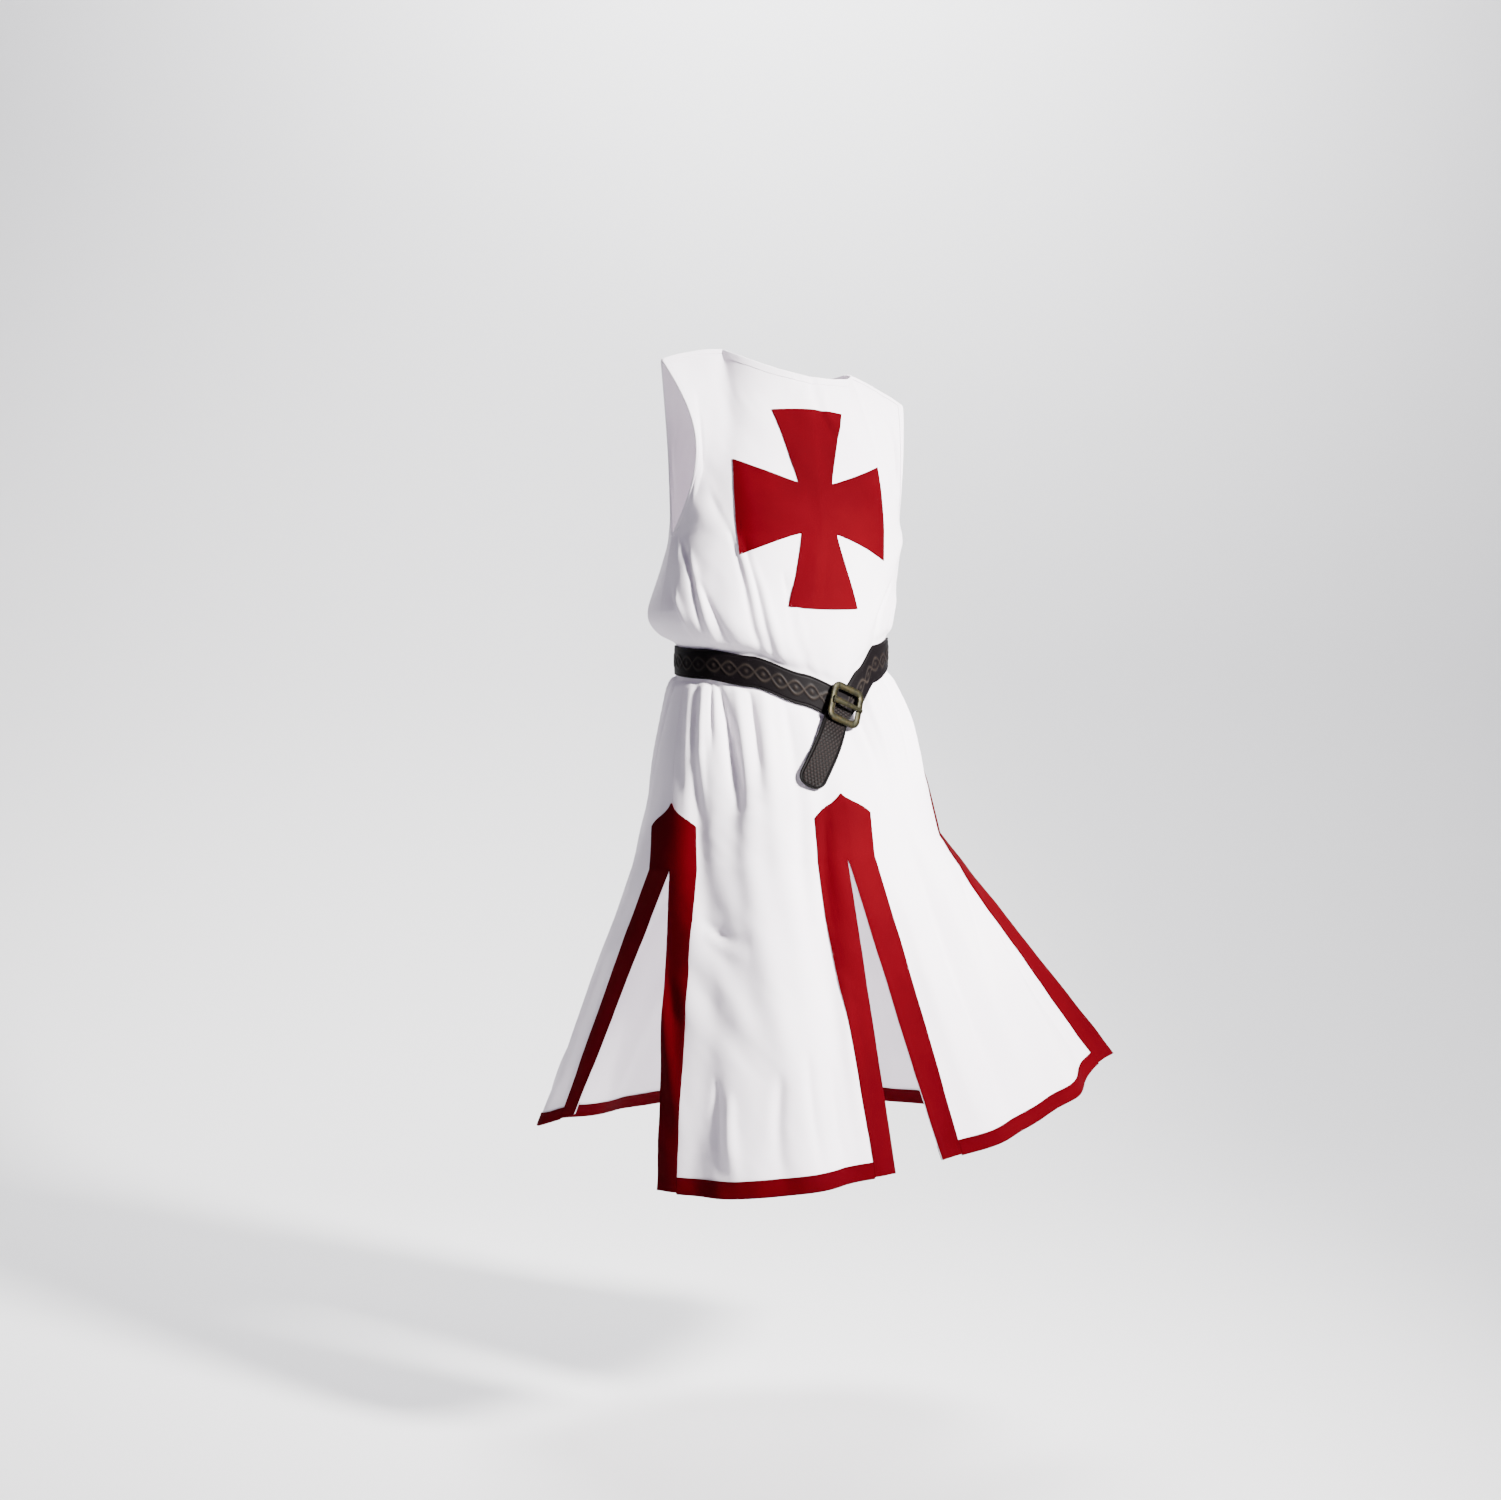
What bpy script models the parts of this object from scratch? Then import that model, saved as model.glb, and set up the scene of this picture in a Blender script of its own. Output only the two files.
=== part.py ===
"""A medieval surcoat in its worn shape: front, back, applied cross, red slit and hem bands, and its belt.

Metres, +Z up, the front faces -Y and the wearer's left is +X. The origin is on the neck's axis, level with
the shoulders that hold the garment up. The cloth is a hollow wall through body sections, laid out as a grid
of rows (down the body) and columns (round it). What is sewn on a panel uses that panel's own grid points.
"""

import math
from collections import Counter, namedtuple

import bmesh
import bpy
from mathutils import Vector

# Driving dimensions
CLOTH = 0.0015  # wall of the white cloth
TRIM = 0.0010  # wall of the red cloth
GAP = 0.0003  # between pieces that touch
BAND = 0.040  # width of the slit bands
HEM_BAND = 0.020  # height of the hem bindings
LEATHER = 0.0035  # wall of the belt
BELT_CLEAR = 0.0010  # the stiff strap bridges the cloth's small gathers
SKIRT_DROP = 0.420  # about the length from the slits' upper ends to the hem
NEAR = 0.01  # the share of a width, or of a place, between points that give a direction

# The neck and the shoulders
NECK_HALF_WIDTH = 0.095
NECK_POINT_Z = -0.004
SHOULDER_TIP_X = 0.185
SHOULDER_TIP_Z = -0.033
SHOULDER_SLOPE = -0.11  # the wearer's left shoulder is carried lower
SHOULDER_ARCH = 0.004
SHOULDER_SPREAD = 1.4  # how soon the yoke takes the shoulder's curve, away from the centre
NECK_CURVE = 1.2
ARMHOLE_CUT = 0.022  # how far the armhole is cut in from the side
ARMHOLE_OPEN = 0.050  # how far its edge stands in front of, or behind, the arm's centre line

Yoke = namedtuple("Yoke", "side neck_depth neck_drop centre_power shoulder_power")
YOKES = {
    "front": Yoke(-1, 0.075, 0.032, 1.0, 2.2),
    "back": Yoke(1, 0.060, 0.010, 2.4, 2.6),
}

# Body sections from the armholes' lower ends to the slits' upper ends. level: height; half_width, front and
# back: half axes; centre_x: sideways shift; follow: how much of the belt's dip the section takes on;
# tilt: how much it rises towards the wearer's left; side: angle of the side seam from centre front;
# rows: grid rows down to the next section.
Section = namedtuple("Section", "name level half_width front back centre_x follow tilt side rows")
SECTIONS = (
    Section("armhole", -0.255, 0.171, 0.120, 0.108, 0.000, 0.00, 0.0, 88, 2),
    Section("chest", -0.310, 0.172, 0.131, 0.112, -0.010, 0.25, 0.0, 86, 2),
    Section("blouse", -0.362, 0.173, 0.138, 0.119, -0.018, 0.65, 0.0, 84, 1),
    Section("over belt", -0.392, 0.164, 0.133, 0.115, -0.013, 0.90, 0.0, 82, 1),
    Section("belt top", -0.410, 0.149, 0.126, 0.108, -0.006, 1.00, 0.0, 81, 1),
    Section("belt bottom", -0.450, 0.149, 0.126, 0.108, -0.006, 1.00, 0.0, 80, 1),
    Section("under belt", -0.470, 0.162, 0.135, 0.114, -0.004, 0.95, 0.0, 79, 2),
    Section("hip", -0.525, 0.182, 0.154, 0.125, 0.000, 0.60, 0.4, 77, 2),
    Section("band point", -0.597, 0.198, 0.174, 0.137, 0.000, 0.15, 1.0, 73, 2),
    Section("band shoulder", -0.628, 0.206, 0.182, 0.142, 0.000, 0.10, 1.0, 71, 2),
    Section("slit end", -0.685, 0.220, 0.195, 0.151, 0.000, 0.10, 1.0, 67, 0),
)
NAMES = [section.name for section in SECTIONS]
LEFT_TILT = 0.022

# The belt's centre line and half height round the body, by the angle from centre front (+ to the wearer's left)
BeltPoint = namedtuple("BeltPoint", "angle centre half_height")
BELT_LINE = (
    BeltPoint(-180, -0.414, 0.0200),
    BeltPoint(-114, -0.420, 0.0200),
    BeltPoint(-65, -0.430, 0.0205),
    BeltPoint(-36, -0.4415, 0.0210),
    BeltPoint(-10, -0.465, 0.0215),
    BeltPoint(13, -0.487, 0.0230),
    BeltPoint(23, -0.464, 0.0270),
    BeltPoint(37, -0.428, 0.0260),
    BeltPoint(66, -0.409, 0.0210),
    BeltPoint(115, -0.408, 0.0200),
)
BELT_MEAN = -0.430
BELT_HALF_HEIGHT = 0.020

# The hems in plan and height: share of the panel's width from its first edge
HemPoint = namedtuple("HemPoint", "share x y z")
Panel = namedtuple("Panel", "cells turn hem")
PANELS = {
    "front_right": Panel(14, 1, (
        HemPoint(0.00, 0.047, -0.240, -1.099),
        HemPoint(0.36, -0.078, -0.262, -1.107),
        HemPoint(0.69, -0.180, -0.208, -1.118),
        HemPoint(1.00, -0.236, -0.114, -1.121),
    )),
    "front_left": Panel(14, -1, (
        HemPoint(0.00, 0.124, -0.227, -1.090),
        HemPoint(0.30, 0.250, -0.208, -1.066),
        HemPoint(0.63, 0.375, -0.146, -1.030),
        HemPoint(0.90, 0.453, -0.092, -1.000),
        HemPoint(1.00, 0.492, -0.077, -0.989),
    )),
    "back": Panel(22, 1, (
        HemPoint(0.00, -0.254, 0.158, -1.062),
        HemPoint(0.12, -0.283, 0.234, -1.088),
        HemPoint(0.23, -0.220, 0.300, -1.090),
        HemPoint(0.43, -0.040, 0.347, -1.088),
        HemPoint(0.65, 0.150, 0.325, -1.090),
        HemPoint(0.85, 0.290, 0.230, -1.090),
        HemPoint(1.00, 0.335, 0.110, -1.085),
    )),
}

# The largest folds. start, peak, end: places down the body, in sections (0 the armhole, 10 the slits' upper
# ends, 11 the hem); share_top, share_low: where the fold runs across its panel; width and height in metres.
Fold = namedtuple("Fold", "panel start peak end share_top share_low width height")
FOLDS = (
    Fold("front_right", 0.3, 2.4, 4.0, 0.78, 0.66, 0.024, 0.007),
    Fold("front_right", 0.3, 2.5, 4.0, 0.52, 0.42, 0.022, 0.006),
    Fold("front_right", 0.5, 2.5, 4.0, 0.28, 0.18, 0.020, 0.005),
    Fold("front_right", 5.0, 8.0, 10.8, 0.50, 0.62, 0.026, -0.007),
    Fold("front_right", 5.0, 9.0, 12.5, 0.36, 0.34, 0.034, 0.007),
    Fold("front_right", 9.6, 11.0, 13.0, 0.16, 0.20, 0.034, -0.009),
    Fold("front_right", 9.8, 11.0, 13.0, 0.66, 0.80, 0.026, -0.008),
    Fold("front_left", 5.0, 8.5, 12.5, 0.44, 0.34, 0.030, -0.006),
    Fold("front_left", 9.6, 11.0, 13.0, 0.66, 0.62, 0.040, 0.012),
    Fold("front_left", 9.8, 11.0, 13.0, 0.24, 0.20, 0.030, 0.007),
    Fold("back", 0.3, 2.5, 4.0, 0.12, 0.16, 0.026, 0.008),
    Fold("back", 0.3, 2.5, 4.0, 0.34, 0.38, 0.026, 0.007),
    Fold("back", 0.3, 2.5, 4.0, 0.60, 0.58, 0.030, 0.008),
    Fold("back", 0.3, 2.5, 4.0, 0.84, 0.80, 0.026, 0.007),
    Fold("back", 5.2, 10.8, 13.0, 0.30, 0.29, 0.040, -0.020),
    Fold("back", 5.2, 10.8, 13.0, 0.46, 0.47, 0.046, 0.014),
    Fold("back", 5.2, 10.8, 13.0, 0.62, 0.63, 0.040, -0.022),
    Fold("back", 5.2, 10.8, 13.0, 0.78, 0.79, 0.040, 0.012),
)

# The cross: half widths across each arm at the centre and at its end, and how far the arms reach
CROSS_Z = -0.220
CROSS_X = -0.004
Arm = namedtuple("Arm", "inner_half outer_half inner_reach outer_reach bow")
UPRIGHT = Arm(0.0255, 0.0525, 0.035, 0.135, 0.003)
CROSSBAR = Arm(0.035, 0.0655, 0.0255, 0.1075, 0.002)
ARM_POWER = 1.15
ARM_STEPS = 5
CUTTER_REACH = (-0.30, -0.02)  # front to back

# The buckle and the belt's hanging end
BUCKLE_ANGLE = 12
BUCKLE_HALF_WIDTH = 0.0235
BUCKLE_HALF_HEIGHT = 0.0238
BUCKLE_CORNER = 0.009
BUCKLE_BAR = 0.0038
BAR_WIDE = 0.0044  # half widths of the frame's bar, in its plane and square to it
BAR_DEEP = BUCKLE_BAR * 0.5
BUCKLE_CLEAR = 0.0020
BUCKLE_LEAN = math.radians(-20)
BUCKLE_PITCH = math.radians(9)  # the tail holds its lower side out
PRONG_REACH = (-0.0250, 0.0262)  # the tongue from its root to its tip, and its half width and thickness there
PRONG_HALF_WIDTHS = (0.0045, 0.0026)
PRONG_THICKNESSES = (0.0030, 0.0018)
PRONG_CROWN = 0.6  # its outer face's share of its width
TAIL_HALF_WIDTH = 0.019
TAIL_TIP_HALF = 0.003
TAIL_CROWDING = 1.25  # how much closer its sections lie towards the rounded tip
TAIL_LENGTH = 0.134
TAIL_LEAN = math.radians(33)
TAIL_CLEAR = 0.0065  # from the cloth's inner face to the tail
TAIL_SETTLES = 0.035  # the length over which the tail turns from the strap to the skirt
TAIL_STEPS = 10

YOKE_ROWS = 7
SKIRT_ROWS = 9
SLIT_PLACE = len(SECTIONS) - 1  # place of the slits' upper ends; the hem is one further down
HEM_PLACE = SLIT_PLACE + 1

WHITE_CLOTH = ("white cloth", (0.90, 0.89, 0.91), 0.85, 0.0)
RED_CLOTH = ("red cloth", (0.30, 0.004, 0.015), 0.80, 0.0)
DARK_LEATHER = ("dark leather", (0.018, 0.012, 0.014), 0.55, 0.0)
OLD_BRONZE = ("old bronze", (0.16, 0.12, 0.045), 0.45, 0.9)


def mix(a, b, share):
    return a + (b - a) * share


def catmull(a, b, c, d, share):
    """A smooth value between b and c."""
    bend = (2 * a - 5 * b + 4 * c - d) + (3 * b - a - 3 * c + d) * share
    return 0.5 * (2 * b + (c - a) * share + bend * share * share)


def along(values, place):
    """A smooth value at a place between evenly spaced values, held at both ends."""
    last = len(values) - 1
    low = min(max(int(math.floor(place)), 0), last - 1)
    a, b, c, d = (values[min(max(low + step, 0), last)] for step in (-1, 0, 1, 2))
    return catmull(a, b, c, d, place - low)


def belt_edge(angle, field):
    """The belt line's value at an angle, smooth and closed round the body."""
    angle = (angle + 180) % 360 - 180
    count = len(BELT_LINE)
    low = max(i for i in range(count) if BELT_LINE[i].angle <= angle)
    near, far = BELT_LINE[low], BELT_LINE[(low + 1) % count]
    share = (angle - near.angle) / ((far.angle - near.angle) % 360)
    smooth = share * share * (3 - 2 * share)
    return mix(getattr(near, field), getattr(far, field), (share + smooth) / 2)


def ring_point(place, angle):
    """A point on the body section at a place down the body."""
    fields = {name: along([getattr(s, name) for s in SECTIONS], place)
              for name in ("level", "half_width", "front", "back", "centre_x", "follow", "tilt")}
    turn = math.radians(angle)
    depth = fields["front"] if math.cos(turn) > 0 else fields["back"]
    dip = belt_edge(angle, "centre") - BELT_MEAN
    belt = NAMES.index("belt top") + 0.5
    edge = max(-1.0, min(1.0, (belt - place) * 2)) * (belt_edge(angle, "half_height") - BELT_HALF_HEIGHT)
    z = fields["level"] + fields["follow"] * (dip + edge) + fields["tilt"] * LEFT_TILT * math.sin(turn)
    return Vector((fields["centre_x"] + fields["half_width"] * math.sin(turn), -depth * math.cos(turn), z))


def side_angle(place):
    return along([section.side for section in SECTIONS], min(place, SLIT_PLACE))


def panel_angle(panel, share, place):
    """The angle round the body at a share of a panel's width, clear of the side seams by half a gap."""
    side = side_angle(place)
    clearance = math.degrees(GAP / 2 / SECTIONS[0].half_width)
    if panel == "front_right":
        return -share * (side - clearance)
    if panel == "front_left":
        return share * (side - clearance)
    return -(side + clearance) - share * (360 - 2 * (side + clearance))


def neck_share(cells):
    """The share of a half panel's top edge that the neck takes, which ends on a column."""
    return 8 / 14 if cells == PANELS["front_right"].cells else 6 / 11


def top_point(yoke, across, neck):
    """A point on the neck and shoulder edge; across runs from -1 at the wearer's right to 1 at the left."""
    reach = abs(across)
    if reach <= neck:
        turn = reach / neck * math.pi / 2
        x = NECK_HALF_WIDTH * math.sin(turn)
        y = yoke.side * yoke.neck_depth * math.cos(turn)
        z = NECK_POINT_Z - yoke.neck_drop * math.cos(turn) ** NECK_CURVE
    else:
        share = (reach - neck) / (1 - neck)
        x = mix(NECK_HALF_WIDTH, SHOULDER_TIP_X, share)
        y = 0
        z = mix(NECK_POINT_Z, SHOULDER_TIP_Z, share) + SHOULDER_ARCH * math.sin(math.pi * share)
    x = math.copysign(x, across)
    return Vector((x, y + yoke.side * GAP / 2, z + SHOULDER_SLOPE * x))


def yoke_point(panel, share, rise):
    """A point between the armholes' lower ends (rise 0) and the neck and shoulders (rise 1)."""
    yoke = YOKES["back" if panel == "back" else "front"]
    across = {"front_right": -share, "front_left": share, "back": 2 * share - 1}[panel]
    low = ring_point(0, panel_angle(panel, share, 0))
    high = top_point(yoke, across, neck_share(PANELS[panel].cells))
    reach = abs(across)
    power = mix(yoke.centre_power, yoke.shoulder_power, min(1.0, reach * SHOULDER_SPREAD))
    belly = math.sin(math.pi * rise)
    x = mix(low.x, high.x, rise) - math.copysign(ARMHOLE_CUT * belly * reach ** 4, across)
    y = mix(low.y, high.y, rise ** power) + yoke.side * ARMHOLE_OPEN * belly * reach ** 4
    return Vector((x, y, mix(low.z, high.z, rise)))


def hem_point(panel, share):
    rows = PANELS[panel].hem
    low = max(i for i in range(len(rows) - 1) if rows[i].share <= max(share, 0))
    part = (share - rows[low].share) / (rows[low + 1].share - rows[low].share)
    picks = [rows[min(max(low + step, 0), len(rows) - 1)] for step in (-1, 0, 1, 2)]
    return Vector([catmull(*(getattr(row, axis) for row in picks), part) for axis in "xyz"])


def plain_point(panel, share, place):
    """A point of a panel without its folds; place is below 0 in the yoke and above SLIT_PLACE in the skirt."""
    if place < 0:
        return yoke_point(panel, share, -place)
    if place <= SLIT_PLACE:
        return ring_point(place, panel_angle(panel, share, place))
    drop = place - SLIT_PLACE
    top = ring_point(SLIT_PLACE, panel_angle(panel, share, SLIT_PLACE))
    return top.lerp(hem_point(panel, share), drop)


def bump(fold, place):
    """How far a fold has grown at a place down the body, 0 to 1."""
    if not fold.start < place < fold.end:
        return 0
    span = fold.peak - fold.start if place < fold.peak else fold.end - fold.peak
    return 0.5 + 0.5 * math.cos(math.pi * (place - fold.peak) / span)


def panel_point(panel, share, place, length):
    """A point of a panel with its folds, which stand out level from the cloth."""
    point = plain_point(panel, share, place)
    height = 0
    for fold in FOLDS:
        if fold.panel == panel:
            run = (place - fold.start) / (min(fold.end, HEM_PLACE) - fold.start)
            offset = (share - mix(fold.share_top, fold.share_low, run)) * length
            height += fold.height * bump(fold, place) * math.exp(-((offset / fold.width) ** 2))
    if height == 0:
        return point
    across = plain_point(panel, share + NEAR, place) - plain_point(panel, share - NEAR, place)
    outward = Vector((-across.y, across.x, 0)).normalized() * PANELS[panel].turn
    return point + outward * height


def row_length(panel, place):
    points = [plain_point(panel, i / 16, place) for i in range(17)]
    return sum((b - a).length for a, b in zip(points, points[1:]))


def column_shares(length, cells):
    """Shares of a row's length at which its columns stand: two half-band cells at each end, the rest even."""
    band = BAND / length
    inner = cells - 4
    middle = [band + (1 - 2 * band) * i / inner for i in range(inner + 1)]
    return [0, band / 2, *middle, 1 - band / 2, 1]


def row_places():
    """Places of the grid's rows, from the shoulders to the hem."""
    places = [row / YOKE_ROWS - 1 for row in range(YOKE_ROWS)]
    for index, section in enumerate(SECTIONS):
        places += [index + row / section.rows for row in range(section.rows)]
    skirt = 1 - HEM_BAND / SKIRT_DROP
    places += [SLIT_PLACE + skirt * row / SKIRT_ROWS for row in range(SKIRT_ROWS + 1)]
    return places + [HEM_PLACE]


PLACES = row_places()
SLIT_ROW = PLACES.index(SLIT_PLACE)
POINT_ROW = PLACES.index(NAMES.index("band point"))
BELT_ROWS = (PLACES.index(NAMES.index("belt top")), PLACES.index(NAMES.index("belt bottom")))
HEM_ROW = len(PLACES) - 1


def key_of(panel, row, column):
    """The name of a grid point. The front's two halves share their centre column above the slit."""
    if panel != "back" and column == 0 and row <= SLIT_ROW:
        return ("front", row, 0)
    return (panel, row, column)


def lay_out(panels):
    """Points, outward normals and outward triangles of one cut piece, from its panels' grids."""
    points, triangles = {}, []
    for panel in panels:
        cells, turn = PANELS[panel].cells, PANELS[panel].turn
        for row, place in enumerate(PLACES):
            length = row_length(panel, place)
            for column, share in enumerate(column_shares(length, cells)):
                points[key_of(panel, row, column)] = panel_point(panel, share, place, length)
        for row in range(HEM_ROW):
            for column in range(cells):
                a, b, c, d = (key_of(panel, row + i, column + j) for i, j in ((0, 0), (1, 0), (1, 1), (0, 1)))
                split = ((a, b, c), (a, c, d)) if column < cells / 2 else ((a, b, d), (b, c, d))
                triangles += [corners[::-turn] for corners in split]
    normals = {key: Vector() for key in points}
    for corners in triangles:
        a, b, c = (points[key] for key in corners)
        for key in corners:
            normals[key] += (b - a).cross(c - a)
    return points, {key: normal.normalized() for key, normal in normals.items()}, triangles


def add_object(name, mesh_maker, finish):
    """One named object with its own material, from a function that fills a bmesh."""
    mesh = bpy.data.meshes.new(name)
    work = bmesh.new()
    mesh_maker(work)
    work.to_mesh(mesh)
    work.free()
    label, colour, roughness, metallic = finish
    material = bpy.data.materials.new(f"{name} {label}")
    material.use_nodes = True
    shader = material.node_tree.nodes["Principled BSDF"]
    shader.inputs["Base Color"].default_value = (*colour, 1)
    shader.inputs["Roughness"].default_value = roughness
    shader.inputs["Metallic"].default_value = metallic
    mesh.materials.append(material)
    piece = bpy.data.objects.new(name, mesh)
    bpy.context.scene.collection.objects.link(piece)
    return piece


def add_shell(name, points, normals, triangles, inner, outer, finish):
    """A closed wall over a set of triangles, from inner to outer along the points' normals."""
    def fill(work):
        used = sorted({key for corners in triangles for key in corners})
        low = {key: work.verts.new(points[key] + normals[key] * inner) for key in used}
        high = {key: work.verts.new(points[key] + normals[key] * outer) for key in used}
        edges = Counter()
        for a, b, c in triangles:
            work.faces.new((high[a], high[b], high[c]))
            work.faces.new((low[c], low[b], low[a]))
            edges.update(((a, b), (b, c), (c, a)))
        for a, b in edges:
            if (b, a) not in edges:
                work.faces.new((high[b], high[a], low[a], low[b]))
    return add_object(name, fill, finish)


def add_loft(name, sections, finish, closed, caps=((),), rising=None):
    """A solid through like sections: closed joins the last to the first, caps are the end faces' corners.

    Each side is split from corner i of one section to corner i + 1 of the next, or the other way round where
    rising(section, i) says so, so that it can match the cloth below it.
    """
    def fill(work):
        rings = [[work.verts.new(point) for point in section] for section in sections]
        pairs = list(zip(rings, rings[1:])) + ([(rings[-1], rings[0])] if closed else [])
        count = len(sections[0])
        for number, (first, second) in enumerate(pairs):
            for i in range(count):
                j = (i + 1) % count
                if rising and rising(number, i):
                    work.faces.new((first[i], first[j], second[i]))
                    work.faces.new((first[j], second[j], second[i]))
                else:
                    work.faces.new((first[i], first[j], second[j]))
                    work.faces.new((first[i], second[j], second[i]))
        if not closed:
            for corners in caps:
                work.faces.new([rings[0][i] for i in reversed(corners)])
                work.faces.new([rings[-1][i] for i in corners])
        bmesh.ops.recalc_face_normals(work, faces=work.faces)
    return add_object(name, fill, finish)


def add_front_slit_trim(front):
    """A band down both edges of the centre slit, joined over its upper end in a pointed head."""
    points, normals, triangles = front
    chosen = [corners for corners in triangles
              if all(key[2] <= head_columns(key[1]) for key in corners)]
    add_shell("trim_front_slit", points, normals, chosen, CLOTH + GAP, CLOTH + GAP + TRIM, RED_CLOTH)


def head_columns(row):
    """How many columns a slit band spans at a row: none above its point, two from its shoulders down."""
    return min(row - POINT_ROW, 2)


def add_side_slit_trim(name, front, back, front_panel, back_edge):
    """A band down both edges of a side slit: one leg on the front, one on the back, joined over the seam."""
    points, normals, triangles = {}, {}, []
    for piece, panel, edge in ((front, front_panel, PANELS[front_panel].cells), (back, "back", back_edge)):
        rename = {}
        for key in piece[0]:
            away = abs(key[2] - edge)
            if key[0] == panel and away <= head_columns(key[1]):
                rename[key] = ("seam", key[1]) if away == 0 and key[1] <= SLIT_ROW else (panel, key[1], away)
        for key, new in rename.items():
            points.setdefault(new, []).append(piece[0][key])
            normals.setdefault(new, []).append(piece[1][key])
        triangles += [tuple(rename[key] for key in corners) for corners in piece[2]
                      if all(key in rename for key in corners)]
    points = {key: sum(found, Vector()) / len(found) for key, found in points.items()}
    normals = {key: sum(found, Vector()).normalized() for key, found in normals.items()}
    add_shell(name, points, normals, triangles, CLOTH + GAP, CLOTH + GAP + TRIM, RED_CLOTH)


def add_hem_binding(name, piece, panel):
    """A narrow band folded round a panel's lower edge, between the bands of its slits."""
    points, normals, _ = piece
    columns = range(2, PANELS[panel].cells - 1)
    sections = []
    for column in columns:
        top, low = (panel, HEM_ROW - 1, column), (panel, HEM_ROW, column)
        toward = {columns[0]: 1, columns[-1]: -1}.get(column, 0)
        inward = {key: (points[(panel, key[1], column + toward)] - points[key]).normalized() * GAP
                  for key in (top, low)}
        down = (points[low] - points[top]).normalized()
        clear = 2 * GAP
        outside, inside, below = CLOTH + clear + TRIM, -(clear + TRIM), clear + TRIM
        offsets = ((top, outside, 0), (low, outside, below), (low, inside, below), (top, inside, 0),
                   (top, -clear, 0), (low, -clear, clear), (low, CLOTH + clear, clear), (top, CLOTH + clear, 0))
        sections.append([points[key] + inward[key] + normals[key] * out + down * drop
                         for key, out, drop in offsets])
    middle = PANELS[panel].cells / 2

    def rising(number, i):
        upward = i in (2, 6)
        return upward == (columns[number] < middle)

    add_loft(name, sections, RED_CLOTH, False, ((0, 1, 6, 7), (1, 2, 5, 6), (2, 3, 4, 5)), rising)


def cross_outline():
    """The cross in the plane X, Z: four flared arms with hollow sides and slightly bowed ends."""
    outline = []
    quarter = 0
    for arm, out, side in ((UPRIGHT, (0, 1), (1, 0)), (CROSSBAR, (1, 0), (0, -1)),
                           (UPRIGHT, (0, -1), (-1, 0)), (CROSSBAR, (-1, 0), (0, 1))):
        steps = [step / ARM_STEPS for step in range(ARM_STEPS + 1)]
        edge = [(mix(arm.inner_half, arm.outer_half, s ** ARM_POWER), mix(arm.inner_reach, arm.outer_reach, s))
                for s in steps]
        arm_line = [(-half, reach) for half, reach in edge]
        arm_line.append((0, arm.outer_reach + arm.bow))
        arm_line += [(half, reach) for half, reach in reversed(edge)]
        placed = [(side[0] * a + out[0] * b, side[1] * a + out[1] * b) for a, b in arm_line]
        outline += placed if quarter == 0 else placed[1:]
        quarter += 1
    return outline[:-1]


def add_cross(front):
    """A slab of red cloth over the chest, cut to the cross's outline."""
    points, normals, triangles = front
    rows = range(1, PLACES.index(NAMES.index("over belt")))
    chosen = [corners for corners in triangles
              if all(key[1] in rows and key[2] <= PANELS["front_right"].cells - 2 for key in corners)]
    slab = add_shell("cross", points, normals, chosen, CLOTH + GAP, CLOTH + GAP + TRIM, RED_CLOTH)
    outline = [(CROSS_X + x, CROSS_Z + z) for x, z in cross_outline()]
    sections = [[Vector((x, y, z)) for x, z in outline] for y in CUTTER_REACH]
    cutter = add_loft("cross_cutter", sections, RED_CLOTH, False, (tuple(range(len(outline))),))
    cutter.hide_render = True
    cutter.display_type = "WIRE"
    cut = slab.modifiers.new("cut to outline", "BOOLEAN")
    cut.operation = "INTERSECT"
    cut.object = cutter


def add_belt_strap(front, back):
    """The strap round the waist, outside the cloth, from the same points."""
    side, far = PANELS["front_right"].cells, PANELS["back"].cells
    route = [[(front, "front_right", column)] for column in range(side - 1, -1, -1)]
    route += [[(front, "front_left", column)] for column in range(1, side)]
    route += [[(front, "front_left", side), (back, "back", far)]]
    route += [[(back, "back", column)] for column in range(far - 1, 0, -1)]
    route += [[(back, "back", 0), (front, "front_right", side)]]
    sections = []
    for stops in route:
        section = []
        for row, out in ((0, 0), (0, LEATHER), (1, LEATHER), (1, 0)):
            keys = [(piece, key_of(panel, BELT_ROWS[row], column)) for piece, panel, column in stops]
            point = sum((piece[0][key] for piece, key in keys), Vector()) / len(keys)
            normal = sum((piece[1][key] for piece, key in keys), Vector())
            normal = Vector((normal.x, normal.y, 0)).normalized()
            section.append(point + normal * (CLOTH + BELT_CLEAR + out))
        sections.append(section)
    add_loft("belt_strap", sections, DARK_LEATHER, True)


def on_front(x, z):
    """The point of the smooth front at a width and a height, and its outward direction."""
    across = x / SECTIONS[0].half_width
    for _ in range(10):
        panel = "front_left" if across > 0 else "front_right"
        low, high = -1.0, float(HEM_PLACE)
        for _ in range(24):
            place = (low + high) / 2
            if plain_point(panel, abs(across), place).z > z:
                low = place
            else:
                high = place
        point = plain_point(panel, abs(across), place)
        across += (x - point.x) / SECTIONS[0].half_width / 2
    beside = plain_point(panel, abs(across) + NEAR, place) - plain_point(panel, abs(across) - NEAR, place)
    below = plain_point(panel, abs(across), place + NEAR) - plain_point(panel, abs(across), place - NEAR)
    normal = beside.cross(below).normalized()
    return point, normal if normal.y < 0 else -normal


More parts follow.
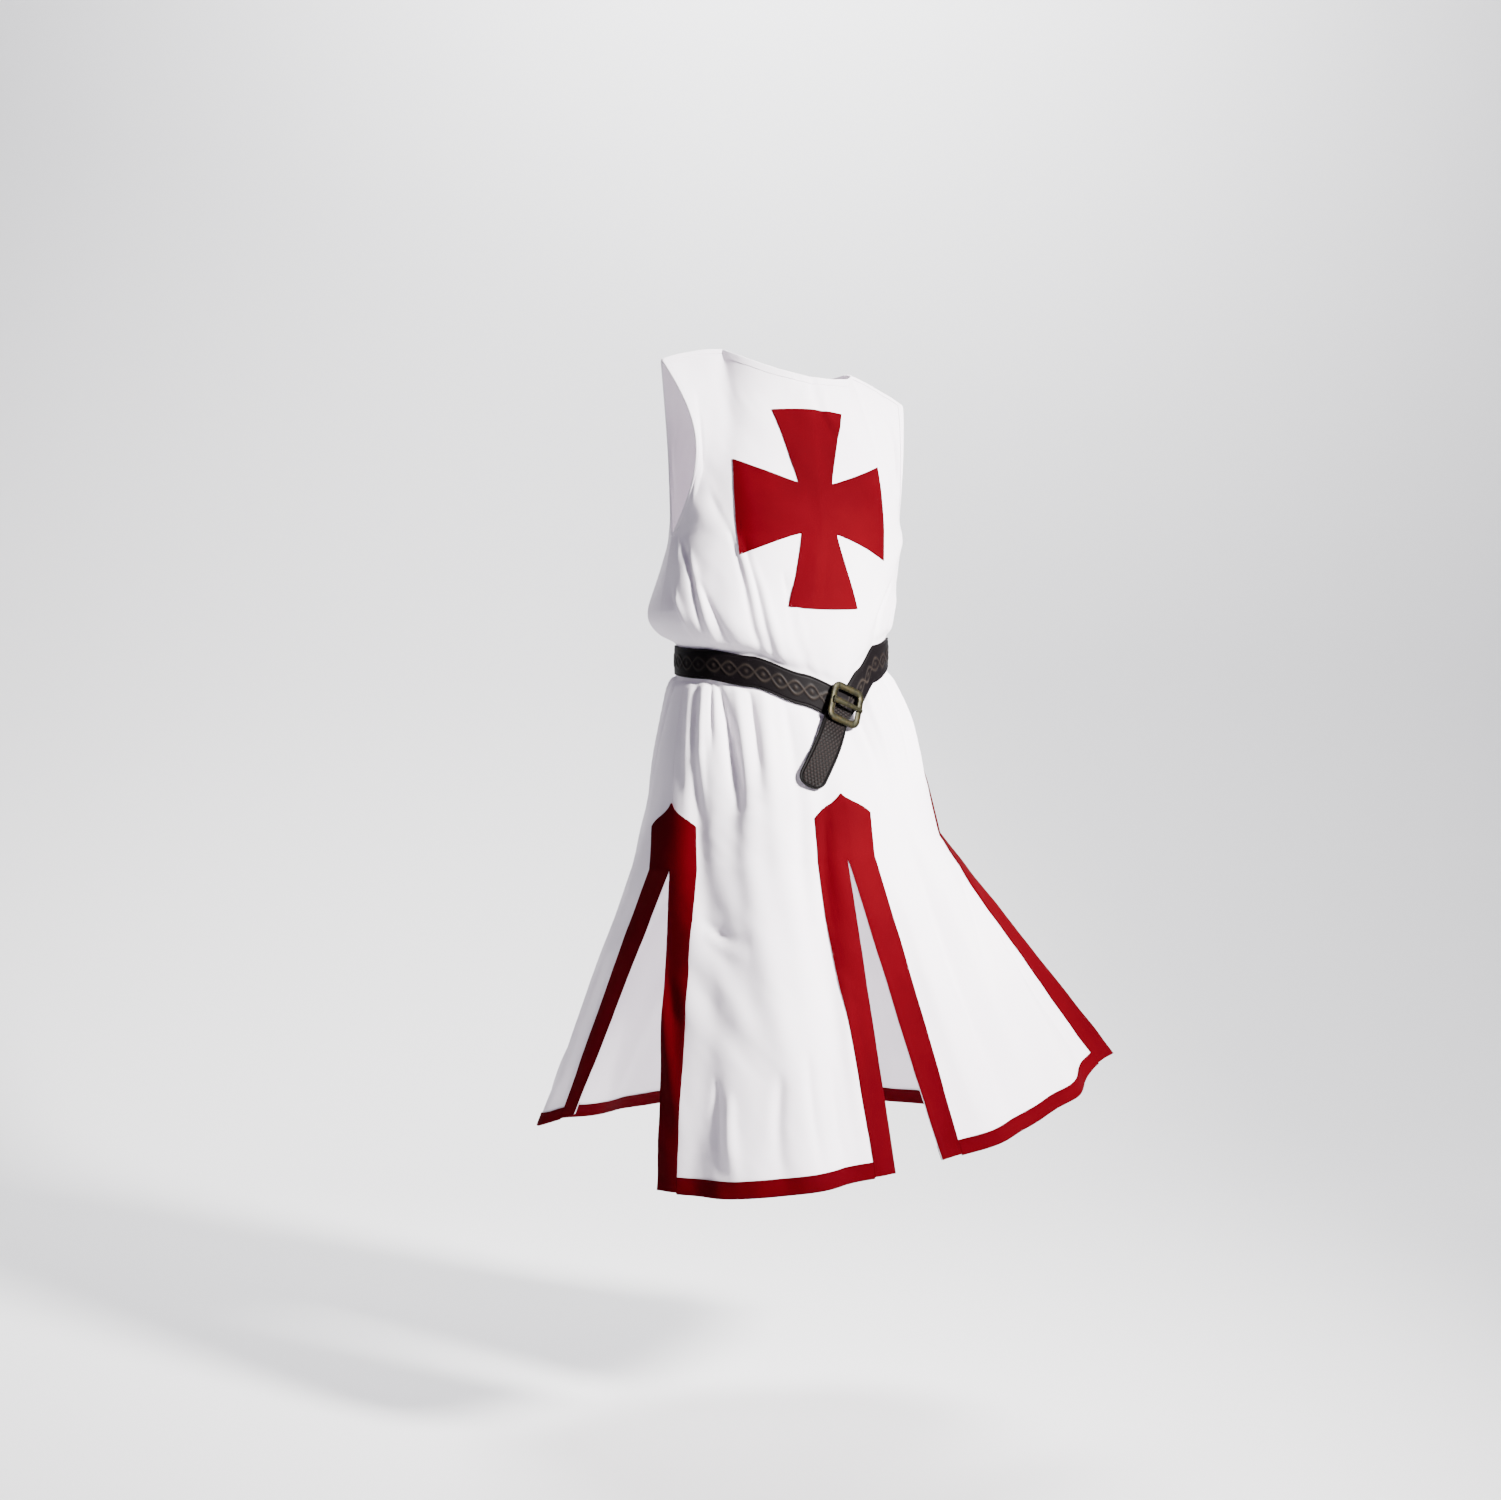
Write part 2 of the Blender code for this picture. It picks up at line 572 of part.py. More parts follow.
def buckle_frame_axes():
    """Centre of the buckle on the strap's outer face, with its outward, sideways and upward directions."""
    turn = math.radians(BUCKLE_ANGLE)
    belt = SECTIONS[NAMES.index("belt top")]
    outward = Vector((math.sin(turn) / belt.half_width, -math.cos(turn) / belt.front, 0)).normalized()
    edges = [ring_point(NAMES.index(name), BUCKLE_ANGLE) for name in ("belt top", "belt bottom")]
    centre = (edges[0] + edges[1]) / 2
    centre += outward * (CLOTH + BELT_CLEAR + LEATHER)
    sideways = Vector((0, 0, 1)).cross(outward).normalized()
    return centre, outward, sideways, Vector((0, 0, 1))


def add_belt_tail():
    """The strap's free end: through the buckle, then down over the skirt, with a rounded tip."""
    centre, outward, sideways, up = buckle_frame_axes()
    heading = -sideways * math.sin(TAIL_LEAN) - up * math.cos(TAIL_LEAN)
    broad = sideways * math.cos(TAIL_LEAN) - up * math.sin(TAIL_LEAN)
    sections = []
    for step in range(TAIL_STEPS + 1):
        run = TAIL_LENGTH * (1 - (1 - step / TAIL_STEPS) ** TAIL_CROWDING)
        left = TAIL_LENGTH - run
        half = TAIL_HALF_WIDTH
        if left < half:
            half = max(TAIL_TIP_HALF, math.sqrt(half ** 2 - (half - left) ** 2))
        on_strap = centre + heading * run
        cloth, normal = on_front(on_strap.x, on_strap.z)
        facing = outward.lerp(normal, min(1.0, run / TAIL_SETTLES)).normalized()
        base = cloth + facing * TAIL_CLEAR
        if (base - on_strap).dot(outward) < GAP:
            base = on_strap + outward * GAP
        edge = (broad - facing * broad.dot(facing)).normalized() * half
        top = facing * LEATHER
        sections.append([base - edge, base + edge, base + edge + top, base - edge + top])
    add_loft("belt_tail", sections, DARK_LEATHER, False, ((0, 1, 2, 3),))


def rounded_rectangle(half_width, half_height, corner, steps):
    """Points round a rectangle whose corners are arcs."""
    outline = []
    for quadrant in range(4):
        sx, sy = ((1, 1), (-1, 1), (-1, -1), (1, -1))[quadrant]
        for step in range(steps + 1):
            turn = math.pi / 2 * (quadrant + step / steps)
            outline.append((sx * (half_width - corner) + corner * math.cos(turn),
                            sy * (half_height - corner) + corner * math.sin(turn)))
    return outline


def turned(first, second, angle):
    """Two square directions, turned in their plane from the first towards the second."""
    return (first * math.cos(angle) + second * math.sin(angle), second * math.cos(angle) - first * math.sin(angle))


def add_buckle():
    """A cast frame with rounded corners in front of the strap, and its tongue across the opening."""
    centre, outward, sideways, up = buckle_frame_axes()
    across, tall = turned(sideways, up, BUCKLE_LEAN)
    tall, outward = turned(tall, outward, -BUCKLE_PITCH)
    centre = centre + outward * (LEATHER + BUCKLE_BAR / 2 + BUCKLE_CLEAR)
    outline = rounded_rectangle(BUCKLE_HALF_WIDTH, BUCKLE_HALF_HEIGHT, BUCKLE_CORNER, 4)
    sections = []
    for i, (a, b) in enumerate(outline):
        before, after = outline[i - 1], outline[(i + 1) % len(outline)]
        tangent = Vector((after[0] - before[0], after[1] - before[1])).normalized()
        side = Vector((tangent.y, -tangent.x))
        section = []
        for corner in range(8):
            turn = math.pi / 4 * (corner + 0.5)
            wide, deep = BAR_WIDE * math.cos(turn), BAR_DEEP * math.sin(turn)
            section.append(centre + across * (a + side.x * wide) + tall * (b + side.y * wide) + outward * deep)
        sections.append(section)
    add_loft("buckle_frame", sections, OLD_BRONZE, True)
    add_prong(centre + outward * (BAR_DEEP + GAP), across, tall, outward)


def add_prong(base, across, tall, outward):
    """The tongue: a tapered bar from one side of the frame over the other."""
    sections = []
    for share in (0, 0.25, 0.75, 1):
        reach = mix(*PRONG_REACH, share)
        half = mix(*PRONG_HALF_WIDTHS, share)
        thick = mix(*PRONG_THICKNESSES, share)
        crown = half * PRONG_CROWN
        sections.append([base + across * reach - tall * half,
                         base + across * reach + tall * half,
                         base + across * reach + tall * crown + outward * thick,
                         base + across * reach - tall * crown + outward * thick])
    add_loft("buckle_prong", sections, OLD_BRONZE, False, ((0, 1, 2, 3),))


def build():
    for old in list(bpy.data.objects):
        bpy.data.objects.remove(old)
    front = lay_out(("front_right", "front_left"))
    back = lay_out(("back",))
    add_shell("front", *front, 0, CLOTH, WHITE_CLOTH)
    add_shell("back", *back, 0, CLOTH, WHITE_CLOTH)
    add_front_slit_trim(front)
    add_side_slit_trim("trim_right_slit", front, back, "front_right", 0)
    add_side_slit_trim("trim_left_slit", front, back, "front_left", PANELS["back"].cells)
    add_hem_binding("hem_front_right", front, "front_right")
    add_hem_binding("hem_front_left", front, "front_left")
    add_hem_binding("hem_back", back, "back")
    add_cross(front)
    add_belt_strap(front, back)
    add_belt_tail()
    add_buckle()


build()
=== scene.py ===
import math
from collections import namedtuple

import bmesh
import bpy
import numpy as np
from mathutils.bvhtree import BVHTree
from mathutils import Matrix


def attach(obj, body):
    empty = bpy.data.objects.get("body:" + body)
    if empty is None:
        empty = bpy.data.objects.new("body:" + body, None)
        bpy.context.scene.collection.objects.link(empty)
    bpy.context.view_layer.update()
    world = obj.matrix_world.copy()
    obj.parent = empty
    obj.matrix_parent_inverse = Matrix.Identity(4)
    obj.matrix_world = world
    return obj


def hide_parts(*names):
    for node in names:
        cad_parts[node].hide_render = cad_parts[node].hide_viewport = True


# A medieval surcoat: bright white cotton with a red cross and red bands, drawn in by a tooled belt.
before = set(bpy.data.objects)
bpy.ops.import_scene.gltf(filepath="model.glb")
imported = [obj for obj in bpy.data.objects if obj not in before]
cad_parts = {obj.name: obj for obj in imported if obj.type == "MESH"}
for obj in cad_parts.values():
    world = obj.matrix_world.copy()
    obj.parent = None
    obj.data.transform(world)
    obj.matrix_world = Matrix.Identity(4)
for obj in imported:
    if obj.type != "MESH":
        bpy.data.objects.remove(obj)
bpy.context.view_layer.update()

# ----------------------------------------------------------------------------
# Front and back. Two lengths of bright white cotton twill, seamed at the shoulders and down the sides to the
# slits. The front is slit up its centre. Each is laid out as rows down the body and columns across the cut,
# hung on the worn form, then its folds and creases are pressed in and it is given its thickness.
# ----------------------------------------------------------------------------
CLOTH = 0.0015
SEAM = 0.0003
BAND = 0.040
HEM_BAND = 0.020
SKIRT_DROP = 0.420
NECK_HALF_WIDTH, NECK_POINT_Z = 0.095, -0.004
SHOULDER_TIP_X, SHOULDER_TIP_Z, SHOULDER_SLOPE = 0.185, -0.033, -0.11
SHOULDER_ARCH, SHOULDER_SPREAD, NECK_CURVE = 0.004, 1.4, 1.2
ARMHOLE_CUT, ARMHOLE_OPEN = 0.022, 0.050

Yoke = namedtuple("Yoke", "side neck_depth neck_drop neck_share centre_power shoulder_power")
FRONT_YOKE = Yoke(-1, 0.075, 0.032, 8 / 14, 1.0, 2.2)
BACK_YOKE = Yoke(1, 0.060, 0.010, 6 / 11, 2.4, 2.6)

# body sections: height, half width, half depths, sideways shift, share of the belt's dip, share of the tilt
# towards the wearer's left, and the side seam's angle from centre front
Section = namedtuple("Section", "name level half_width front back centre_x follow tilt side rows")
SECTIONS = [Section(*row) for row in (
    ("armhole", -0.255, 0.171, 0.120, 0.108, 0.000, 0.00, 0.0, 88, 2),
    ("chest", -0.310, 0.172, 0.131, 0.112, -0.010, 0.25, 0.0, 86, 2),
    ("blouse", -0.362, 0.173, 0.138, 0.119, -0.018, 0.65, 0.0, 84, 1),
    ("over belt", -0.392, 0.164, 0.133, 0.115, -0.013, 0.90, 0.0, 82, 1),
    ("belt top", -0.410, 0.149, 0.126, 0.108, -0.006, 1.00, 0.0, 81, 1),
    ("belt bottom", -0.450, 0.149, 0.126, 0.108, -0.006, 1.00, 0.0, 80, 1),
    ("under belt", -0.470, 0.162, 0.135, 0.114, -0.004, 0.95, 0.0, 79, 2),
    ("hip", -0.525, 0.182, 0.154, 0.125, 0.000, 0.60, 0.4, 77, 2),
    ("band point", -0.597, 0.198, 0.174, 0.137, 0.000, 0.15, 1.0, 73, 2),
    ("band shoulder", -0.628, 0.206, 0.182, 0.142, 0.000, 0.10, 1.0, 71, 2),
    ("slit end", -0.685, 0.220, 0.195, 0.151, 0.000, 0.10, 1.0, 67, 0),
)]
NAMES = [section.name for section in SECTIONS]
LEFT_TILT = 0.022
SLIT_PLACE = len(SECTIONS) - 1
HEM_PLACE = SLIT_PLACE + 1

# the belt's line round the body: angle from centre front, centre height, half height
BeltPoint = namedtuple("BeltPoint", "angle centre half_height")
BELT_LINE = [BeltPoint(*row) for row in (
    (-180, -0.414, 0.0200),
    (-114, -0.420, 0.0200),
    (-65, -0.430, 0.0205),
    (-36, -0.4415, 0.0210),
    (-10, -0.465, 0.0215),
    (13, -0.487, 0.0230),
    (23, -0.464, 0.0270),
    (37, -0.428, 0.0260),
    (66, -0.409, 0.0210),
    (115, -0.408, 0.0200),
    (180, -0.414, 0.0200),
)]
BELT_MEAN, BELT_HALF_HEIGHT = -0.430, 0.020

# the hems in plan and height, by share of each panel's width
HemPoint = namedtuple("HemPoint", "share x y z")
Panel = namedtuple("Panel", "turn inner_cells hem")
PANELS = {
    "front_right": Panel(1, 80, (
        HemPoint(0.00, 0.047, -0.240, -1.099),
        HemPoint(0.36, -0.078, -0.262, -1.107),
        HemPoint(0.69, -0.180, -0.208, -1.118),
        HemPoint(1.00, -0.236, -0.114, -1.121),
    )),
    "front_left": Panel(-1, 80, (
        HemPoint(0.00, 0.124, -0.227, -1.090),
        HemPoint(0.30, 0.250, -0.208, -1.066),
        HemPoint(0.63, 0.375, -0.146, -1.030),
        HemPoint(0.90, 0.453, -0.092, -1.000),
        HemPoint(1.00, 0.492, -0.077, -0.989),
    )),
    "back": Panel(1, 130, (
        HemPoint(0.00, -0.254, 0.158, -1.062),
        HemPoint(0.12, -0.283, 0.234, -1.088),
        HemPoint(0.23, -0.220, 0.300, -1.090),
        HemPoint(0.43, -0.040, 0.347, -1.088),
        HemPoint(0.65, 0.150, 0.325, -1.090),
        HemPoint(0.85, 0.290, 0.230, -1.090),
        HemPoint(1.00, 0.335, 0.110, -1.085),
    )),
}

# the broad folds, as the cloth hangs: places down the body (0 the armhole, 10 the slits' ends, 11 the hem),
# shares of the panel's width at their two ends, then width and height in metres
Fold = namedtuple("Fold", "panel start peak end share_top share_low width height")
FOLDS = [Fold(*row) for row in (
    ("front_right", 0.3, 2.4, 4.0, 0.78, 0.66, 0.024, 0.007),
    ("front_right", 0.3, 2.5, 4.0, 0.52, 0.42, 0.022, 0.006),
    ("front_right", 0.5, 2.5, 4.0, 0.28, 0.18, 0.020, 0.005),
    ("front_right", 5.0, 8.0, 10.8, 0.50, 0.62, 0.026, -0.007),
    ("front_right", 5.0, 9.0, 12.5, 0.36, 0.34, 0.034, 0.007),
    ("front_right", 9.6, 11.0, 13.0, 0.16, 0.20, 0.034, -0.009),
    ("front_right", 9.8, 11.0, 13.0, 0.66, 0.80, 0.026, -0.008),
    ("front_left", 5.0, 8.5, 12.5, 0.44, 0.34, 0.030, -0.006),
    ("front_left", 9.6, 11.0, 13.0, 0.66, 0.62, 0.040, 0.012),
    ("front_left", 9.8, 11.0, 13.0, 0.24, 0.20, 0.030, 0.007),
    ("back", 0.3, 2.5, 4.0, 0.12, 0.16, 0.026, 0.008),
    ("back", 0.3, 2.5, 4.0, 0.34, 0.38, 0.026, 0.007),
    ("back", 0.3, 2.5, 4.0, 0.60, 0.58, 0.030, 0.008),
    ("back", 0.3, 2.5, 4.0, 0.84, 0.80, 0.026, 0.007),
    ("back", 5.2, 10.8, 13.0, 0.30, 0.29, 0.040, -0.020),
    ("back", 5.2, 10.8, 13.0, 0.46, 0.47, 0.046, 0.014),
    ("back", 5.2, 10.8, 13.0, 0.62, 0.63, 0.040, -0.022),
    ("back", 5.2, 10.8, 13.0, 0.78, 0.79, 0.040, 0.012),
)]

# the creases: each runs from its upper to its lower end, given as the distance across the cut from the
# centre line (+ to the wearer's left) and the height; bow is how far its middle swings aside; a ridge is
# positive and a trough negative
Crease = namedtuple("Crease", "across_top z_top across_low z_low bow width height")
FRONT_CREASES = [Crease(*row) for row in (
    # gathers fanning up from the belt at the wearer's right
    (-0.128, -0.215, -0.077, -0.408, -0.006, 0.0050, -0.0042),
    (-0.118, -0.240, -0.066, -0.412, -0.006, 0.0065, 0.0040),
    (-0.188, -0.270, -0.147, -0.398, -0.004, 0.0055, -0.0046),
    (-0.174, -0.290, -0.136, -0.400, -0.003, 0.0060, 0.0038),
    (-0.226, -0.300, -0.181, -0.402, -0.004, 0.0055, -0.0044),
    (-0.212, -0.318, -0.166, -0.400, -0.002, 0.0060, 0.0036),
    (-0.160, -0.318, -0.116, -0.404, -0.003, 0.0045, -0.0034),
    (-0.096, -0.275, -0.060, -0.418, -0.004, 0.0050, -0.0040),
    (-0.084, -0.300, -0.048, -0.424, -0.003, 0.0060, 0.0034),
    (-0.044, -0.320, -0.017, -0.440, -0.002, 0.0045, -0.0036),
    (-0.034, -0.345, -0.006, -0.446, -0.001, 0.0050, 0.0026),
    (-0.016, -0.362, -0.011, -0.444, 0.001, 0.0035, -0.0022),
    (0.052, -0.385, 0.028, -0.452, 0.002, 0.0050, -0.0020),
    (0.118, -0.330, 0.078, -0.410, 0.003, 0.0070, 0.0030),
    (0.138, -0.318, 0.106, -0.396, 0.003, 0.0055, -0.0036),
    (0.190, -0.300, 0.160, -0.388, 0.002, 0.0070, -0.0036),
    (0.206, -0.320, 0.184, -0.388, 0.002, 0.0060, 0.0030),
    # pulls off the shoulders and the neck
    (0.006, -0.040, 0.044, -0.128, 0.006, 0.0055, -0.0026),
    (0.018, -0.050, 0.070, -0.140, 0.010, 0.0080, 0.0018),
    (-0.012, -0.040, -0.030, -0.074, -0.002, 0.0040, -0.0014),
    (-0.150, -0.070, -0.120, -0.190, 0.010, 0.0100, -0.0030),
    (-0.176, -0.130, -0.130, -0.260, 0.008, 0.0120, 0.0030),
    (0.150, -0.080, 0.120, -0.200, -0.010, 0.0100, -0.0030),
    (0.196, -0.190, 0.130, -0.290, -0.006, 0.0110, 0.0026),
    # short gathers let down under the belt
    (-0.210, -0.455, -0.222, -0.600, 0.002, 0.0050, -0.0036),
    (-0.198, -0.455, -0.214, -0.640, 0.003, 0.0060, 0.0034),
    (-0.184, -0.458, -0.196, -0.560, 0.002, 0.0045, -0.0032),
    (-0.170, -0.460, -0.186, -0.620, 0.003, 0.0055, 0.0026),
    (-0.157, -0.462, -0.165, -0.540, 0.001, 0.0045, -0.0028),
    (-0.143, -0.464, -0.133, -0.615, -0.002, 0.0095, -0.0058),
    (-0.116, -0.466, -0.112, -0.660, 0.002, 0.0110, 0.0036),
    (-0.098, -0.470, -0.100, -0.590, 0.001, 0.0060, -0.0026),
    (-0.080, -0.472, -0.090, -0.700, 0.004, 0.0120, 0.0032),
    (-0.050, -0.482, -0.056, -0.640, 0.002, 0.0090, -0.0026),
    (-0.030, -0.490, -0.030, -0.585, 0.001, 0.0060, 0.0020),
    (0.064, -0.470, 0.070, -0.600, 0.002, 0.0070, -0.0026),
    (0.088, -0.452, 0.096, -0.620, 0.002, 0.0080, 0.0028),
    (0.112, -0.440, 0.124, -0.560, 0.002, 0.0060, -0.0030),
    (0.150, -0.434, 0.142, -0.560, -0.003, 0.0080, -0.0046),
    (0.172, -0.434, 0.176, -0.600, 0.002, 0.0080, 0.0036),
    (0.196, -0.434, 0.196, -0.540, 0.001, 0.0060, -0.0030),
    # the right skirt panel: a curl, a hollow under it and soft runs down to the hem
    (-0.210, -0.772, -0.150, -0.796, 0.006, 0.0080, -0.0022),
    (-0.204, -0.790, -0.156, -0.812, 0.005, 0.0090, 0.0018),
    (-0.232, -0.840, -0.172, -0.945, 0.010, 0.0200, -0.0026),
    (-0.200, -0.820, -0.140, -0.950, 0.008, 0.0180, 0.0018),
    (-0.230, -0.985, -0.248, -1.085, 0.003, 0.0070, -0.0036),
    (-0.214, -1.000, -0.226, -1.090, 0.003, 0.0080, 0.0034),
    (-0.144, -0.975, -0.166, -1.085, 0.004, 0.0080, -0.0030),
    (-0.024, -0.610, -0.056, -0.880, -0.004, 0.0140, -0.0050),
    (-0.036, -0.860, -0.046, -1.070, 0.004, 0.0110, 0.0040),
    (-0.196, -0.590, -0.190, -0.860, 0.006, 0.0240, -0.0064),
    (-0.118, -0.560, -0.128, -1.010, 0.006, 0.0190, 0.0042),
    (-0.056, -0.640, -0.064, -0.860, 0.003, 0.0140, -0.0034),
    (-0.104, -0.950, -0.112, -1.080, 0.003, 0.0080, -0.0034),
    (-0.072, -0.970, -0.078, -1.080, 0.003, 0.0070, -0.0028),
    (-0.286, -0.820, -0.292, -1.060, 0.004, 0.0120, 0.0030),
    # the left skirt panel: faint soft runs as it swings out
    (0.112, -0.700, 0.124, -1.030, 0.006, 0.0130, -0.0044),
    (0.140, -0.720, 0.180, -1.030, 0.006, 0.0160, 0.0038),
    (0.196, -0.735, 0.172, -0.830, -0.004, 0.0080, -0.0034),
    (0.214, -0.720, 0.250, -0.960, 0.006, 0.0140, 0.0034),
    (0.236, -0.740, 0.330, -0.980, 0.010, 0.0140, -0.0040),
    (0.060, -0.760, 0.076, -1.040, 0.004, 0.0140, 0.0030),
)]
BACK_CREASES = [Crease(*row) for row in (
    (-0.170, -0.100, -0.120, -0.230, 0.012, 0.0110, -0.0030),
    (0.170, -0.110, 0.118, -0.235, -0.012, 0.0110, -0.0030),
    (-0.060, -0.060, 0.050, -0.070, -0.008, 0.0080, -0.0018),
    (-0.176, -0.270, -0.140, -0.394, 0.004, 0.0060, -0.0044),
    (-0.140, -0.240, -0.112, -0.394, 0.004, 0.0070, 0.0036),
    (-0.108, -0.290, -0.088, -0.394, 0.002, 0.0050, -0.0038),
    (-0.066, -0.230, -0.056, -0.394, 0.003, 0.0070, -0.0042),
    (-0.030, -0.280, -0.026, -0.394, 0.001, 0.0060, 0.0036),
    (0.006, -0.250, 0.000, -0.394, -0.002, 0.0055, -0.0042),
    (0.044, -0.300, 0.036, -0.394, -0.001, 0.0060, 0.0030),
    (0.080, -0.240, 0.066, -0.394, -0.003, 0.0060, -0.0042),
    (0.126, -0.270, 0.104, -0.394, -0.003, 0.0070, -0.0038),
    (0.160, -0.250, 0.136, -0.394, -0.004, 0.0070, 0.0036),
    (0.190, -0.300, 0.166, -0.394, -0.002, 0.0055, -0.0036),
    (-0.200, -0.440, -0.230, -0.620, 0.004, 0.0070, -0.0040),
    (-0.166, -0.438, -0.190, -0.680, 0.004, 0.0090, 0.0040),
    (-0.128, -0.436, -0.140, -0.560, 0.002, 0.0060, -0.0038),
    (-0.094, -0.436, -0.108, -0.720, 0.004, 0.0100, -0.0050),
    (-0.058, -0.436, -0.064, -0.600, 0.001, 0.0070, 0.0036),
    (-0.024, -0.436, -0.026, -0.660, 0.001, 0.0080, -0.0042),
    (0.014, -0.436, 0.018, -0.580, -0.001, 0.0060, 0.0034),
    (0.050, -0.436, 0.062, -0.700, -0.003, 0.0090, -0.0048),
    (0.088, -0.436, 0.104, -0.600, -0.002, 0.0070, 0.0036),
    (0.126, -0.438, 0.150, -0.680, -0.004, 0.0080, -0.0042),
    (0.170, -0.440, 0.196, -0.600, -0.003, 0.0070, 0.0034),
    (0.206, -0.440, 0.236, -0.560, -0.002, 0.0060, -0.0034),
    # seen through the right slit: long slanting runs on the inside of the back
    (-0.150, -0.760, -0.290, -0.960, 0.010, 0.0130, -0.0060),
    (-0.090, -0.760, -0.230, -1.000, 0.012, 0.0150, 0.0060),
    (-0.040, -0.800, -0.150, -1.060, 0.008, 0.0140, -0.0054),
    (0.060, -0.760, 0.090, -1.050, 0.006, 0.0160, 0.0050),
    (0.200, -0.760, 0.300, -1.040, 0.010, 0.0160, -0.0056),
    (0.290, -0.780, 0.370, -1.040, 0.008, 0.0140, 0.0040),
    (-0.330, -0.850, -0.370, -1.040, 0.004, 0.0120, -0.0040),
)]

BAND_CELLS = 6
ROW_SPLIT = 6  # grid rows to each of the cut's own rows
YOKE_ROWS = 7
SKIRT_ROWS = 60
HEM_ROWS = 4


def catmull(a, b, c, d, share):
    """A smooth value between b and c."""
    bend = (2 * a - 5 * b + 4 * c - d) + (3 * b - a - 3 * c + d) * share
    return 0.5 * (2 * b + (c - a) * share + bend * share * share)


def section_value(field, place):
    values = [getattr(section, field) for section in SECTIONS]
    low = min(max(int(math.floor(place)), 0), len(values) - 2)
    picks = [values[min(max(low + step, 0), len(values) - 1)] for step in (-1, 0, 1, 2)]
    return catmull(*picks, place - low)


def belt_value(angle, field):
    """The belt line's value at each angle, smooth and closed round the body."""
    angle = (angle + 180) % 360 - 180
    stops = np.array([point.angle for point in BELT_LINE])
    values = np.array([getattr(point, field) for point in BELT_LINE])
    low = np.clip(np.searchsorted(stops, angle, side="right") - 1, 0, len(stops) - 2)
    share = (angle - stops[low]) / (stops[low + 1] - stops[low])
    eased = (share + share * share * (3 - 2 * share)) / 2
    return values[low] + (values[low + 1] - values[low]) * eased


def ring_row(place, angle):
    """Points of the body section at a place down the body, at each angle."""
    value = {field: section_value(field, place)
             for field in ("level", "half_width", "front", "back", "centre_x", "follow", "tilt")}
    turn = np.radians(angle)
    depth = np.where(np.cos(turn) > 0, value["front"], value["back"])
    middle = NAMES.index("belt top") + 0.5
    edge = np.clip((middle - place) * 2, -1, 1) * (belt_value(angle, "half_height") - BELT_HALF_HEIGHT)
    dip = belt_value(angle, "centre") - BELT_MEAN + edge
    z = value["level"] + value["follow"] * dip + value["tilt"] * LEFT_TILT * np.sin(turn)
    return np.stack([value["centre_x"] + value["half_width"] * np.sin(turn), -depth * np.cos(turn), z], 1)


def panel_angles(panel, share, place):
    side = section_value("side", min(place, SLIT_PLACE))
    clearance = math.degrees(SEAM / 2 / SECTIONS[0].half_width)
    if panel == "back":
        return -(side + clearance) - share * (360 - 2 * (side + clearance))
    return share * (side - clearance) * (-1 if panel == "front_right" else 1)


def yoke_row(panel, share, rise):
    """Points between the armholes' lower ends (rise 0) and the neck and shoulders (rise 1)."""
    yoke = BACK_YOKE if panel == "back" else FRONT_YOKE
    across = {"front_right": -share, "front_left": share, "back": 2 * share - 1}[panel]
    reach, hand = np.abs(across), np.where(across < 0, -1, 1)
    turn = np.clip(reach / yoke.neck_share, 0, 1) * math.pi / 2
    past = np.clip((reach - yoke.neck_share) / (1 - yoke.neck_share), 0, 1)
    top_x = NECK_HALF_WIDTH * np.sin(turn) + (SHOULDER_TIP_X - NECK_HALF_WIDTH) * past
    top_y = yoke.side * (yoke.neck_depth * np.cos(turn) + SEAM / 2)
    drop = yoke.neck_drop * np.maximum(np.cos(turn), 0) ** NECK_CURVE
    arch = SHOULDER_ARCH * np.sin(math.pi * past)
    top_z = NECK_POINT_Z - drop + (SHOULDER_TIP_Z - NECK_POINT_Z) * past + arch
    top_z = top_z + SHOULDER_SLOPE * top_x * hand
    low = ring_row(0, panel_angles(panel, share, 0))
    spread = np.minimum(1, reach * SHOULDER_SPREAD)
    power = yoke.centre_power + (yoke.shoulder_power - yoke.centre_power) * spread
    belly = math.sin(math.pi * rise)
    x = low[:, 0] + (top_x * hand - low[:, 0]) * rise - hand * ARMHOLE_CUT * belly * reach ** 4
    y = low[:, 1] + (top_y - low[:, 1]) * rise ** power + yoke.side * ARMHOLE_OPEN * belly * reach ** 4
    return np.stack([x, y, low[:, 2] + (top_z - low[:, 2]) * rise], 1)


def hem_row(panel, share):
    rows = PANELS[panel].hem
    stops = np.array([row.share for row in rows])
    points = np.array([[row.x, row.y, row.z] for row in rows])
    low = np.clip(np.searchsorted(stops, share, side="right") - 1, 0, len(rows) - 2)
    part = ((share - stops[low]) / (stops[low + 1] - stops[low]))[:, None]
    picks = [points[np.clip(low + step, 0, len(rows) - 1)] for step in (-1, 0, 1, 2)]
    return catmull(*picks, part)


def plain_row(panel, share, place):
    """A row of a panel before its folds are put in."""
    if place < 0:
        return yoke_row(panel, share, -place)
    if place <= SLIT_PLACE:
        return ring_row(place, panel_angles(panel, share, place))
    top = ring_row(SLIT_PLACE, panel_angles(panel, share, SLIT_PLACE))
    return top + (hem_row(panel, share) - top) * (place - SLIT_PLACE)


def row_places():
    """Places of the grid's rows from the shoulders to the hem, close together in the hem's turning."""
    places = [row / (YOKE_ROWS * ROW_SPLIT) - 1 for row in range(YOKE_ROWS * ROW_SPLIT)]
    for index, section in enumerate(SECTIONS):
        count = section.rows * ROW_SPLIT
        places += [index + row / count for row in range(count)]
    skirt = 1 - HEM_BAND / SKIRT_DROP
    places += [SLIT_PLACE + skirt * row / SKIRT_ROWS for row in range(SKIRT_ROWS)]
    return places + [SLIT_PLACE + skirt + (1 - skirt) * row / HEM_ROWS for row in range(HEM_ROWS + 1)]


